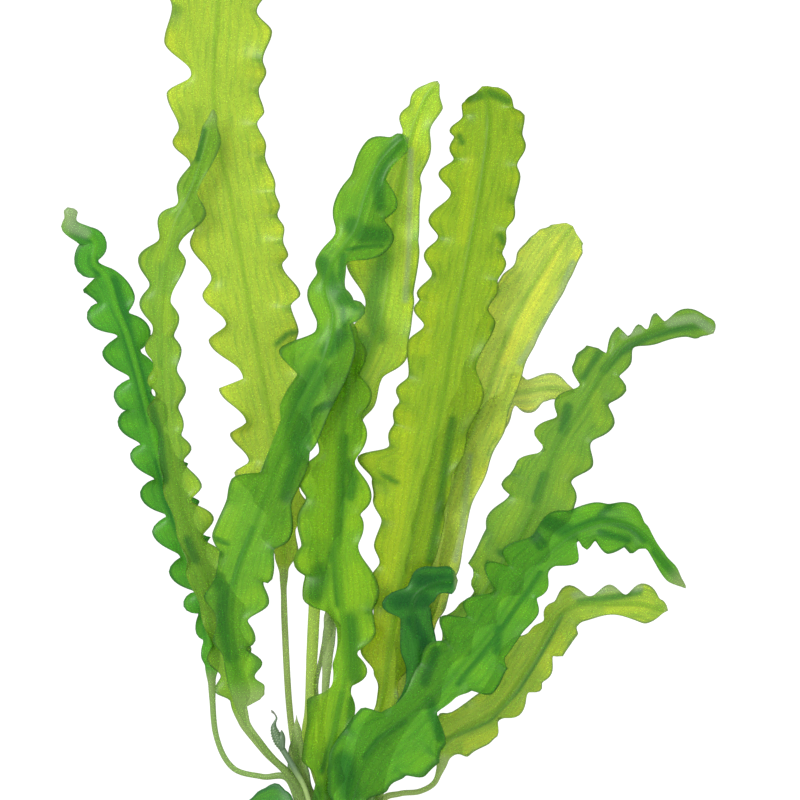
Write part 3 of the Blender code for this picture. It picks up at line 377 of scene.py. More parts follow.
            (77.5, -50), (67.5, -51.5), (59.5, -61.5), (46.5, -67.5), (49.5, -74.5), (39, -73.5),
            (43, -85.5), (29, -91), (31, -97), (18.5, -98), (20.5, -108), (12.5, -110.5), (9, -119),
            (-2, -137), (-8, -140.5), (-17, -138.5), (-24, -147.5), (-30, -156), (-31.5, -164),
            (-32, -174)),
        "right": ((120.5, -80.5), (115, -72), (112, -67), (108.5, -67), (104.5, -69), (101, -65.5),
            (93.5, -68.5), (88.5, -62.5), (83, -67), (79, -61), (79, -72.5), (66.5, -75), (65, -85.5),
            (60.5, -89), (61, -96.5), (54, -104.5), (46.5, -115), (47, -120.5), (41.5, -130.5),
            (31.5, -129.5), (23.5, -133.5), (16, -139), (19, -155), (17, -162),
            (11, -167.5), (2, -167.5), (-6, -174)),
        "tooth": 2.0, "bulge": 0.8, "ruffle": 2.6,
        "colour": (0.11, 0.36, 0.025),
        "fold_shade_strokes": (((65, -54), (76.5, -59.5), 4), ((60, -57.5), (65, -65), 1.4),
            ((55, -55), (63, -66.5), 1.4), ((79, -57.5), (90, -53), (103.5, -57.5), (110, -63), 1.8),
            ((90, -52), (95.5, -46.5), 1.8), ((26, -127), (45, -103.5), (63, -77.5), 1.4),
            ((44, -102.5), (43.5, -112.5), 2.2), ((90, -59.5), (102.5, -63), 1.8),
            ((115, -68.5), (127, -83), 1.8), ((-15.5, -160), (-10, -152), (2, -144), 1.4),
            ((-25, -162), (-22.5, -175.5), 5.4), ((13.5, -135), (18, -151), 2.7),
            ((11, -126), (16, -112.5), 2.7)),
        "lights": (((83, -49.5), (90, -48.5), 2.7), ((101, -48.5), (107, -55), 2.2),
            ((47, -90), (54, -94.5), 4), ((27, -117), (36, -121.5), 4), ((9, -160), (14.5, -162), 2.7)),
        "rib": 0.7, "slot": "dark_leaf",
        "midrib": [
            (-22, -180, 29, 5.5, 0), (-16, -163, 31, 9, 0), (-4, -148, 32, 11, 0),
            (11, -136, 31, 13, 0), (24, -123, 29, 13.5, 0), (40, -104, 25, 15, 0),
            (57, -79, 22, 14.5, 0), (73, -63, 19.5, 12, 0), (88, -56, 15.5, 10, 0),
            (102, -56, 10.5, 9.5, 0),
            (112, -63, 7, 5.5, 0), (120, -75, 5, 3.5, 0), (129, -85, 4, 1, 0),
        ],
    },
    "low_right_leaf": {
        "leaves_tuber_at": (80, -15),
        "left": ((110, -83.5), (102, -88.5), (94.5, -84), (85.5, -89.5), (75, -84.5), (70, -91.5),
            (66.5, -93.5), (65.5, -100), (59.5, -104), (51, -108), (46, -113), (42, -125),
            (35, -133.5), (29.5, -137.5), (23.5, -141.5), (18.5, -142)),
        "right": ((110, -100), (95.5, -96), (83, -99), (79.5, -101.5), (79.5, -105.5),
            (76.5, -109.5), (73, -115), (68.5, -115), (67.5, -123.5), (63.5, -127), (63, -130.5),
            (57, -132), (54, -141), (43.5, -143), (43, -151.5), (39, -155), (30.5, -160), (21, -163)),
        "tooth": 1.4, "bulge": 0.5, "ruffle": 2.0,
        "colour": (0.33, 0.5, 0.055),
        "fold_shade_strokes": (((81, -91), (95.5, -89), (108, -86.5), 1.8),
            ((21, -153), (40.5, -145), (54, -130.5), (67.5, -108), (73, -97), 1.1)),
        "lights": (((94.5, -94.5), (112.5, -92.5), 2.7), ((72, -108), (65, -119), 3.1),
            ((31.5, -155), (45, -151), 3.1)),
        "faded": (((79, -88), (94.5, -85.5), (108, -84.5), 1.8),),
        "rib": 0.7, "slot": "pale_leaf",
        "midrib": [
            (-8, -181, 9, 1.6, 0), (0, -177.5, 6, 1.3, 0), (9, -176.5, 3.5, 1.3, 0),
            (16, -172, 3, 1.3, 0), (18.5, -162, 3.5, 1.8, 0), (21, -155, 4, 6, 0),
            (27, -149.5, 4, 10.5, 0), (36, -145, 4, 10.5, 0), (46, -138, 4, 10.5, 0),
            (54, -127, 4, 10.5, 0), (61, -116, 4, 10, 0), (67, -105, 4, 9.5, 0), (73, -96.5, 4, 8.5, 0),
            (82, -92, 4, 7, 0), (95, -92, 4, 6.5, 0), (108, -92, 4, 8, 0), (116, -94, 4, 5.5, 0),
            (121, -95, 4, 1, 0),
        ],
    },
    "dark_young_leaf": {
        "leaves_tuber_at": (40, 30),
        "left": ((25, -75.5), (18, -75.5), (8, -76.5), (3.5, -84.5), (-7.5, -92), (1, -98), (1, -112.5),
            (3.5, -120.5)),
        "right": ((25, -86.5), (18, -86), (14.5, -90), (13.5, -97), (15.5, -108), (16, -117),
            (18, -128), (17, -135)),
        "tooth": 1.2, "bulge": 0.3, "ruffle": 1.4,
        "colour": (0.055, 0.27, 0.035),
        "fold_shade_strokes": (((9, -81), (24, -81), 3.6), ((-2, -90), (11, -90), 4),
            ((5.5, -99), (12.5, -112.5), (14.5, -130.5), 3.1)),
        "lights": (((7, -124), (11, -129.5), 2.7),),
        "rib": 0.7, "slot": "dark_leaf",
        "midrib": [
            (-12, -170, 21, 2.4, 0), (-2, -145, 22, 3, 0), (7, -130, 23.5, 6, 0), (8, -115, 24, 7, 0),
            (6, -100, 24, 8, 0), (6, -90, 24, 8, 0), (12, -84, 24, 6, 0), (20, -81.5, 24, 5.5, 0),
            (26, -81, 24, 1.5, 0),
        ],
    },
    "low_left_leaf": {
        "leaves_tuber_at": (-75, 25),
        "left": ((-67.5, -193.5), (-62, -190), (-58.5, -190), (-54, -187)),
        "right": ((-66.5, -180), (-61.5, -176), (-55.5, -173.2), (-51.5, -176.5)),
        "tooth": 1.2, "bulge": 0.4, "ruffle": 1.8,
        "colour": (0.065, 0.27, 0.04),
        "lights": (((-65, -178.5), (-56, -175.5), (-46, -177), 2.7),),
        "rib": 0.7, "slot": "dark_leaf",
        "midrib": [
            (-49, -189, 18, 2.5, 0), (-55, -184, 14, 4, 0), (-62, -184, 9, 5.5, 0),
            (-69, -191, 6, 6.5, 0),
            (-75, -201, 4, 6, 0), (-79, -211, 4, 3.5, 0), (-80, -216, 4, 1, 0),
        ],
    },
    "upper_young_spear": {
        "leaves_tuber_at": (-10, 22),
        "left": (), "right": (), "tooth": 0, "bulge": 0, "ruffle": 0,
        "colour": (0.33, 0.44, 0.17),
        "rib": 0.7, "slot": "young_leaf",
        "midrib": [
            (-33, -172, 17, 1.4, 0), (-36, -153, 16, 1.3, 0), (-34, -135, 15.5, 1.4, 0),
            (-32.5, -115, 15.5, 2.4, 0), (-31.5, -100, 15.5, 2.9, 0), (-33, -90, 15.5, 0.7, 0),
        ],
    },
    "lower_young_spear": {
        "leaves_tuber_at": (-12, -25),
        "left": (), "right": (), "tooth": 0, "bulge": 0, "ruffle": 0,
        "colour": (0.33, 0.44, 0.17),
        "rib": 0.7, "slot": "young_leaf",
        "midrib": [
            (-33, -172, 7, 1.4, 0), (-35, -151, 4, 1.3, 0), (-38, -130, 3.5, 1.2, 0),
            (-35, -115, 5, 1.2, 0), (-32, -102, 7, 2.2, 0),
            (-30, -94, 7, 0.7, 0),
        ],
    },
    "leaf_spear": {
        "leaves_tuber_at": (-26, 15),
        "left": (), "right": (), "tooth": 0, "bulge": 0, "ruffle": 0,
        "colour": (0.25, 0.38, 0.1),
        "rib": 0.7, "slot": "young_leaf",
        "midrib": [
            (-41, -178, 18.2, 3, 0), (-45.4, -168, 18.3, 4.8, 0), (-46.4, -160, 18.2, 4, 0),
            (-46.3, -152, 18.2, 2.6, 0), (-46.5, -141, 17.5, 0.6, 0),
        ],
    },
}

# Flower bud: its stalk, bud and thread tip as rows of x, y, z and radius, and the sheath leaf
# that has opened beside it
BUD_LEAVES_TUBER_AT = (-72, 55)
BUD_STALK = [
    (-42, -176, 25.5, 1.1), (-46.5, -167, 25, 1.3), (-50, -161, 24, 1.35), (-52.8, -156.5, 23, 1.4),
    (-54.4, -153.5, 23, 2.0), (-55.8, -150, 22.6, 2.0), (-56.6, -147, 22.2, 1.4),
    (-56.2, -144.8, 22, 0.7), (-55.4, -142.8, 22, 0.42), (-56.2, -141, 22, 0.36),
    (-57.4, -139.8, 22, 0.55), (-57.8, -139, 22, 0.3),
]
BUD_SHEATH = [
    (-52.2, -158.6, 23, 1.0), (-53, -155.4, 23.6, 1.5), (-53, -152, 23.6, 1.6),
    (-53, -149.6, 23.2, 1.1), (-53.2, -148, 23, 0.4),
]

# Roots: the direction round the tuber in degrees from +Y, the length and the sideways bend
ROOTS = [
    (147, 34, 6), (168, 42, -5), (190, 38, 7), (212, 40, -6), (235, 33, 5), (124, 27, -6), (258, 22, 6),
]
# A root's path: share of its way out, height of its middle and radius
ROOT_PATH = [(0, 8, 1.0), (0.3, 6, 1.0), (0.65, 2.2, 0.8), (1, 1.2, 0.5)]
ROOT_START = 4.0


def smooth_step(value):
    """0 below 0, 1 above 1, and an even slope between."""
    value = np.clip(value, 0.0, 1.0)
    return value * value * (3.0 - 2.0 * value)


def on_tuber(round_degrees, up_degrees, clearance):
    """A point just outside the tuber, seen from its centre at the given angles from +Y."""
    turn = math.radians(round_degrees)
    rise = math.radians(up_degrees)
    way = np.array((math.sin(turn) * math.cos(rise), math.cos(turn) * math.cos(rise), math.sin(rise)))
    return TUBER_CENTRE + way * (TUBER_HALF + clearance)


def smooth_curve(rows):
    """A smooth curve through the rows, as many close rows, and the distance of each from the start."""
    rows = np.array(rows, float)
    padded = np.vstack((rows[:1], rows, rows[-1:]))
    pieces = []
    for p0, p1, p2, p3 in zip(padded, padded[1:], padded[2:], padded[3:]):
        part = np.arange(SPAN_STEPS)[:, None] / SPAN_STEPS
        bend = (2 * p0 - 5 * p1 + 4 * p2 - p3) * part**2
        twist = (3 * p1 - p0 - 3 * p2 + p3) * part**3
        pieces.append(0.5 * (2 * p1 + (p2 - p0) * part + bend + twist))
    dense = np.vstack(pieces + [rows[-1:]])
    steps = np.linalg.norm(np.diff(dense[:, :3], axis=0), axis=1)
    return np.concatenate(((0.0,), np.cumsum(steps))), dense


def rows_at(distances, dense, wanted):
    """The rows of a dense curve at the wanted distances along it."""
    return np.column_stack([np.interp(wanted, distances, column) for column in dense.T])


def directions_at(distances, dense, wanted):
    """The curve's directions at the wanted distances along it."""
    ahead = rows_at(distances, dense[:, :3], wanted + LOOK_AHEAD)
    behind = rows_at(distances, dense[:, :3], wanted - LOOK_AHEAD)
    return unit(ahead - behind)


def unit(vectors):
    """The same directions, one long."""
    return vectors / np.maximum(np.linalg.norm(vectors, axis=-1, keepdims=True), 1e-12)


def margin_marks(leaf, side, distances, dense):
    """Teeth and notches of one margin, by turns from the tip: distance from the tip and half width.

    The traced ones are carried on to both ends with the leaf's usual tooth.
    """
    length = distances[-1]

    def usual(from_tip, is_tooth):
        half = np.interp(length - from_tip, distances, dense[:, 3])
        wave = leaf["tooth"] * smooth_step((half - RUFFLE_START) / (RUFFLE_FULL - RUFFLE_START))
        return half + wave if is_tooth else half - wave

    marks = []
    for x, y in leaf["left"] if side < 0 else leaf["right"]:
        away = np.hypot(dense[:, 0] - x, dense[:, 1] - y)
        from_tip = length - distances[away.argmin()]
        if marks:
            from_tip = max(from_tip, marks[-1][0] + NARROWEST_TOOTH)
        marks.append((from_tip, away.min() + RIM_REACH))
    if not marks:
        marks = [(0.0, 0.0)]
    is_tooth = len(marks) % 2 == 0
    while marks[-1][0] < length:
        from_tip = marks[-1][0] + USUAL_STEP
        marks.append((from_tip, usual(min(from_tip, length), not is_tooth)))
        is_tooth = not is_tooth
    first = 0
    while marks[0][0] > 0:
        from_tip = marks[0][0] - USUAL_STEP
        first -= 1
        marks.insert(0, (from_tip, usual(max(from_tip, 0.0), first % 2 == 0)))
    return np.array(marks), first


def margin_wave(leaf, side, distances, dense, from_tip):
    """Half width and wave in radians of one margin at distances from the tip."""
    marks, first = margin_marks(leaf, side, distances, dense)
    place = np.interp(from_tip, marks[:, 0], np.arange(len(marks)))
    before = np.minimum(place.astype(int), len(marks) - 2)
    share = (1 - np.cos(math.pi * (place - before))) / 2
    width = marks[before, 1] * (1 - share) + marks[before + 1, 1] * share
    return width, math.pi * (place + first)


def stroke_strength(points, strokes):
    """How strongly each point lies on soft strokes, 0 to 1. A stroke ends with its half width."""
    strength = np.zeros(points.shape[:2])
    for *path, half_width in strokes:
        for start, end in zip(np.array(path), np.array(path[1:])):
            way = end - start
            share = np.clip(((points[..., :2] - start) @ way) / (way @ way), 0, 1)
            away = np.linalg.norm(points[..., :2] - start - share[..., None] * way, axis=-1)
            strength = np.maximum(strength, np.exp(-((away / half_width) ** 4)))
    return strength


def closed_skin(name, points, stored):
    """A closed, smooth mesh: rings of points one after another, the first and the last drawn to a point.

    points is rings x columns x 3 in table millimetres. The arrays in stored are kept on the points
    under their labels, for the materials.
    """
    rings, columns = points.shape[:2]
    bpy.ops.object.select_all(action="DESELECT")
    bpy.ops.mesh.primitive_grid_add(x_subdivisions=columns, y_subdivisions=rings - 1, size=2)
    piece = bpy.context.object
    piece.name = name
    mesh = piece.data
    flat = np.zeros(len(mesh.vertices) * 3)
    mesh.vertices.foreach_get("co", flat)
    flat = flat.reshape(-1, 3)
    column = np.rint((flat[:, 0] + 1) / 2 * columns).astype(int) % columns
    ring = np.rint((flat[:, 1] + 1) / 2 * (rings - 1)).astype(int)
    placed = (points[ring, column] + PLANT_SHIFT) * MM
    mesh.vertices.foreach_set("co", placed.ravel())
    for label, values in stored.items():
        layer = mesh.attributes.new(label, "FLOAT_VECTOR", "POINT")
        layer.data.foreach_set("vector", values[ring, column].astype(np.float32).ravel())
    bpy.ops.object.mode_set(mode="EDIT")
    bpy.ops.mesh.select_all(action="SELECT")
    bpy.ops.mesh.remove_doubles(threshold=1e-7)
    bpy.ops.mesh.normals_make_consistent(inside=False)
    bpy.ops.object.mode_set(mode="OBJECT")
    bpy.ops.object.shade_smooth()
    return piece


def leaf_skin(name, leaf):
    """One leaf's fine mesh."""
    distances, dense = leaf_curve(leaf)
    length = distances[-1]
    stations = np.linspace(0, length, int(length / STATION_STEP) + 1)
    row = rows_at(distances, dense, stations)
    forward = directions_at(distances, dense, stations)
    across = unit(np.cross(forward, (0, 0, 1)))
    normal = np.cross(across, forward)
    turn = np.radians(row[:, 4])[:, None]
    across, normal = (
        across * np.cos(turn) + normal * np.sin(turn),
        normal * np.cos(turn) - across * np.sin(turn),
    )
    half = row[:, 3]
    from_tip = length - stations
    ends = np.sqrt(np.clip(np.minimum(from_tip, stations) / TIP_ROUNDING, 0, 1))

    columns = BLADE_COLUMNS if half.max() > SPEAR_WIDTH else SPEAR_COLUMNS
    step = np.arange(2 * columns) / columns
    over = step < 1
    even = np.where(over, 2 * step - 1, 3 - 2 * step)
    place = even - 0.5 * np.sin(math.tau * even) / math.tau
    side = np.where(place < 0, -1.0, 1.0)
    reach = np.abs(place)
    upper = np.where(over, 1.0, -1.0)

    size = smooth_step((half - RUFFLE_START) / (RUFFLE_FULL - RUFFLE_START))
    out = np.zeros((len(stations), 2 * columns))
    height = np.zeros_like(out)
    shift = np.zeros_like(out)
    crest = np.zeros_like(out)
    slope = np.zeros_like(out)
    for number in (-1.0, 1.0):
        width_here, phase = margin_wave(leaf, number, distances, dense, from_tip)
        swing = size * (1 + SIZE_WANDER * np.sin(SIZE_WANDER_RATE * phase))
        here = side == number
        out[:, here] = (width_here - half)[:, None]
        height[:, here] = (leaf["ruffle"] * swing * np.sin(phase / 2))[:, None]
        shift[:, here] = (-leaf["bulge"] * swing * np.sin(phase))[:, None]
        crest[:, here] = (swing * np.cos(phase))[:, None]
        slope[:, here] = (swing * np.sin(phase / 2))[:, None]

    fall = reach**RUFFLE_FALL
    width = half[:, None] * reach + out * fall
    lift = height * fall
    round_share = np.exp(-np.maximum(half - PETIOLE_RADIUS, 0) / PETIOLE_RADIUS)[:, None]
    tube = half[:, None] * PETIOLE_ROUNDNESS * np.sqrt(1 - reach**2)
    rib = MIDRIB_RISE * np.exp(-((reach * half[:, None] / MIDRIB_RADIUS) ** 2))
    sheet = BLADE_HALF_THICKNESS + (MARGIN_HALF_THICKNESS - BLADE_HALF_THICKNESS) * reach
    sheet = (sheet + rib) * np.minimum(1, (1 - reach) * 12)
    thick = (round_share * tube + (1 - round_share) * sheet) * upper
    width = width * ends[:, None]
    thick = thick * ends[:, None]

    points = row[:, None, :3] + across[:, None] * (width * side)[..., None]
    points = points + normal[:, None] * (lift + thick)[..., None] + forward[:, None] * (shift * fall)[..., None]
    # strengths of the strokes of painted shade where folded, of painted light and of faded colour
    tones = [stroke_strength(points, leaf.get(kind, ())) for kind in ("fold_shade_strokes", "lights", "faded")]
    stored = {
        "leaf_place": (place, stations[:, None], half[:, None]),
        "leaf_wave": (crest * fall, slope * fall, from_tip[:, None]),
        "leaf_tone": tones,
    }
    stored = {label: np.stack(np.broadcast_arrays(*values, out)[:3], -1) for label, values in stored.items()}
    return closed_skin(name, points, stored)


def leaf_curve(leaf):
    """The leaf's midrib from the tuber to its tip, as a smooth curve."""
    start = on_tuber(*leaf["leaves_tuber_at"], CROWN_GAP)
    base = leaf["midrib"][0]
    return smooth_curve([(*start, min(base[3], SHEATH_HALF_WIDTH), 0.0)] + leaf["midrib"])


def tube_skin(name, rows, columns, step, kind, relief=None):
    """A fine closed tube round a curve whose rows end with a radius.

    kind tells the material what it is: 0 tuber, 1 root, 2 leaf sheath, 3 bud, 4 its sheath. relief swells it, by
    a share of its radius, from its distances, angles and radii.
    """
    distances, dense = smooth_curve(rows)
    length = distances[-1]
    stations = np.linspace(0, length, max(int(length / step), 6))
    row = rows_at(distances, dense, stations)
    forward = directions_at(distances, dense, stations)
    across = unit(np.cross(forward, (0, 0, 1)))
    normal = np.cross(across, forward)
    angle = np.arange(columns) / columns * math.tau
    radius = row[:, 3]
    ends = np.sqrt(np.clip(np.minimum(length - stations, stations) / (2 * radius), 0, 1))
    swell = relief(stations[:, None], angle, radius[:, None]) if relief else np.zeros((len(stations), columns))
    reach = (radius * ends)[:, None] * (1 + swell)
    around = across[:, None] * np.cos(angle)[:, None] + normal[:, None] * np.sin(angle)[:, None]
    points = row[:, None, :3] + around * reach[..., None]
    shares = (stations / length)[:, None]
    stored = np.stack(np.broadcast_arrays(float(kind), swell, shares), -1)
    return closed_skin(name, points, {"skin_place": stored})


def floret_relief(stations, angle, radius):
    """Closed florets in crossing spirals, on the thick part of the bud alone."""
    thick = smooth_step((radius - 1.1) / 0.8)
    one = np.sin(FLORETS_ROUND * angle / 2 + FLORET_TURNS * stations)
    other = np.sin(FLORETS_ROUND * angle / 2 - FLORET_TURNS * stations)
    return FLORET_RELIEF * thick * (np.abs(one * other) - 0.4)


def knobbly(stations, angle, radius):
    """Uneven thickness of a root."""
    return 0.10 * np.sin(1.3 * stations + np.cos(angle)) + 0.07 * np.sin(3.1 * stations + 2 * angle)


def root_rows(round_degrees, length, bend):
    """A root's path from inside the tuber down to the surface, then along it."""
    turn = math.radians(round_degrees)
    out = np.array((math.sin(turn), math.cos(turn)))
    aside = np.array((out[1], -out[0]))
    rows = []
    for share, height, radius in ROOT_PATH:
        along = ROOT_START + (TUBER_HALF[1] + length - ROOT_START) * share
        rows.append((*(TUBER_CENTRE[:2] + out * along + aside * bend * share), height, radius))
    return rows


def rootlet_rows(root, number):
    """A thin rootlet that leaves a root sideways and sinks to the surface."""
    distances, dense = smooth_curve(root)
    share = 0.38 + 0.52 * (number + 0.5) / ROOTLETS_PER_ROOT
    start = rows_at(distances, dense, np.array([distances[-1] * share]))[0]
    forward = directions_at(distances, dense, np.array([distances[-1] * share]))[0]
    aside = np.array((forward[1], -forward[0], 0.0)) * (1 if number % 2 else -1)
    length = ROOTLET_LENGTH * (1.25 - share) * (1 + 0.3 * math.sin(GOLDEN_TURN * number + root[-1][0]))
    rows = []
    for part in (0.0, 0.35, 0.7, 1.0):
        point = start[:3] + (aside * part + forward * 0.5 * part**2) * length
        height = max(start[2] * (1 - part) ** 1.5, 0.45) + PLANT_SHIFT[2] * -1
        rows.append((point[0], point[1], min(start[2], height), ROOTLET_RADIUS * (1 - 0.45 * part)))
    return rows


def tuber_body():
    """The knobbly tuber with wrinkled skin and the scars of old leaves near its crown."""
    bpy.ops.object.select_all(action="DESELECT")
    bpy.ops.mesh.primitive_uv_sphere_add(segments=TUBER_SEGMENTS, ring_count=TUBER_RINGS, radius=1)
    piece = bpy.context.object
    mesh = piece.data
    stored = mesh.attributes.new("skin_place", "FLOAT_VECTOR", "POINT")
    for corner, kept in zip(mesh.vertices, stored.data):
        way = corner.co.normalized()
        lumps = math.sin(5 * way.x + 2) * math.sin(6 * way.y + 1) * math.cos(4 * way.z)
        size = 1 - TUBER_LUMP * (1 + lumps) / 2
        wander = noise.noise(way * 3)
        wrinkle = abs(noise.noise(Vector((way.x * 5, way.y * 13 + wander, way.z * 5))))
        crown = smooth_step((way.y + 0.1) / 0.9)
        scar = (0.5 + 0.5 * math.sin(22 * way.y + 5 * wander)) * crown
        sunk = WRINKLE_DEPTH * (1 - wrinkle * 2.5) + SCAR_DEPTH * scar
        narrowing = 1 - TUBER_TAPER * smooth_step(-way.y)
        point = np.array(way) * (TUBER_HALF * size - sunk)
        point[0] *= narrowing
        corner.co = Vector((TUBER_CENTRE + point + PLANT_SHIFT) * MM)
        kept.vector = (0.0, wrinkle, scar)
    bpy.ops.object.shade_smooth()
    return piece


def crown_sheath(name, leaf):
    """The short sheath at the foot of a leaf, grown onto the tuber."""
    distances, dense = leaf_curve(leaf)
    row = rows_at(distances, dense, np.linspace(0, SHEATH_LENGTH, 4))
    inside = on_tuber(*leaf["leaves_tuber_at"], -2.0)
    rows = [(*inside, min(row[0, 3], SHEATH_HALF_WIDTH) + SHEATH_FLARE)]
    for number, (x, y, z, half, _turn) in enumerate(row):
        rows.append((x, y, z, min(half, SHEATH_HALF_WIDTH) + SHEATH_FLARE * (1 - (number + 1) / 5)))
    return tube_skin(name, rows, ROOT_COLUMNS, ROOT_STEP, 2)


def join_pieces(pieces, name):
    """The pieces as one object."""
    bpy.ops.object.select_all(action="DESELECT")
    for piece in pieces:
        piece.select_set(True)
    bpy.context.view_layer.objects.active = pieces[0]
    bpy.ops.object.join()
    pieces[0].name = name
    return pieces[0]


def tuber_skin():
    """The tuber with its roots, rootlets and the sheaths of the leaves."""
    pieces = [tuber_body()]
    for number, root in enumerate(ROOTS):
        rows = root_rows(*root)
        pieces.append(tube_skin(f"root_{number + 1}", rows, ROOT_COLUMNS, ROOT_STEP, 1, knobbly))
        for twig in range(ROOTLETS_PER_ROOT):
            name = f"rootlet_{number + 1}_{twig + 1}"
            pieces.append(tube_skin(name, rootlet_rows(rows, twig), ROOTLET_COLUMNS, ROOT_STEP, 1))
    for name, leaf in LEAVES.items():
        pieces.append(crown_sheath(name + "_sheath", leaf))
    return join_pieces(pieces, "tuber_and_roots")


def bud_skin():
    """The flower bud on its stalk, with its opened sheath leaf."""
    start = on_tuber(*BUD_LEAVES_TUBER_AT, -1.0)
    rows = [(*start, BUD_STALK[0][3] + 0.4)] + BUD_STALK
    bud = tube_skin("bud_spike", rows, BUD_COLUMNS, BUD_STEP, 3, floret_relief)
    sheath = tube_skin("bud_sheath", BUD_SHEATH, BUD_COLUMNS, BUD_STEP, 4)
    return join_pieces([bud, sheath], "flower_bud_skin")


class Value:
    """A node socket that is used like a number."""

    def __init__(self, maker, socket):
        self.maker = maker
        self.socket = socket

    def combine(self, operation, first, second=0.0):
        return self.maker.node("ShaderNodeMath", {"operation": operation}, {0: first, 1: second})

    def __add__(self, other):
        return self.combine("ADD", self, other)

    def __radd__(self, other):
        return self.combine("ADD", other, self)

    def __sub__(self, other):
        return self.combine("SUBTRACT", self, other)

    def __rsub__(self, other):
        return self.combine("SUBTRACT", other, self)

    def __mul__(self, other):
        return self.combine("MULTIPLY", self, other)

    def __rmul__(self, other):
        return self.combine("MULTIPLY", other, self)

    def __truediv__(self, other):
        return self.combine("DIVIDE", self, other)

    def __rtruediv__(self, other):
        return self.combine("DIVIDE", other, self)

    def __abs__(self):
        return self.combine("ABSOLUTE", self)

    def least(self, other):
        return self.combine("MINIMUM", self, other)

    def most(self, other):
        return self.combine("MAXIMUM", self, other)

    def fraction(self):
        return self.combine("FRACT", self)

    def sine(self):
        return self.combine("SINE", self)

    def between(self, low, high):
        """0 below low, 1 above high, with an even slope between."""
        settings = {"interpolation_type": "SMOOTHSTEP"}
        values = {"Value": self, "From Min": low, "From Max": high}
        return self.maker.node("ShaderNodeMapRange", settings, values)


class Material:
    """One procedural material and the few kinds of nodes it is made of."""

    def __init__(self, name):
        self.data = bpy.data.materials.new(name)
        self.data.use_nodes = True
        self.tree = self.data.node_tree
        self.shader = self.tree.nodes["Principled BSDF"]

    def node(self, kind, settings=None, values=None, output=0):
        """Adds a node: its settings first, then the values or links of its sockets."""
        made = self.tree.nodes.new(kind)
        for setting, value in (settings or {}).items():
            setattr(made, setting, value)
        for key, value in (values or {}).items():
            self.join(made.inputs[key], value)
        return Value(self, made.outputs[output])

    def join(self, socket, value):
        if isinstance(value, Value):
            self.tree.links.new(value.socket, socket)
        else:
            socket.default_value = value

    def attribute(self, label):
        """The three numbers stored on a mesh under this label."""
        stored = self.node("ShaderNodeAttribute", {"attribute_name": label}, output="Vector")
        split = self.node("ShaderNodeSeparateXYZ", values={0: stored}).socket.node
        return [Value(self, output) for output in split.outputs]

    def where(self):
        """The object's own coordinates, in metres."""
        return self.node("ShaderNodeTexCoord", output="Object")

    def speckle(self, per_metre, detail=2.0, place=None):
        """Soft random patches, 0 to 1, about this many to a metre."""
        values = {"Vector": place or self.where(), "Scale": per_metre, "Detail": detail}
        return self.node("ShaderNodeTexNoise", values=values)

    def blend(self, share, first, second):
        """The first colour where share is 0, the second where it is 1."""
        settings = {"data_type": "RGBA"}
        mixed = self.node("ShaderNodeMix", settings, {0: share, 6: first, 7: second}, output=2)
        return mixed

    def set(self, **values):
        """Sets sockets of the shader; the words are its labels with _ for a space."""
        for label, value in values.items():
            self.join(self.shader.inputs[label.replace("_", " ")], value)


def colour(red, green, blue):
    return (red, green, blue, 1.0)


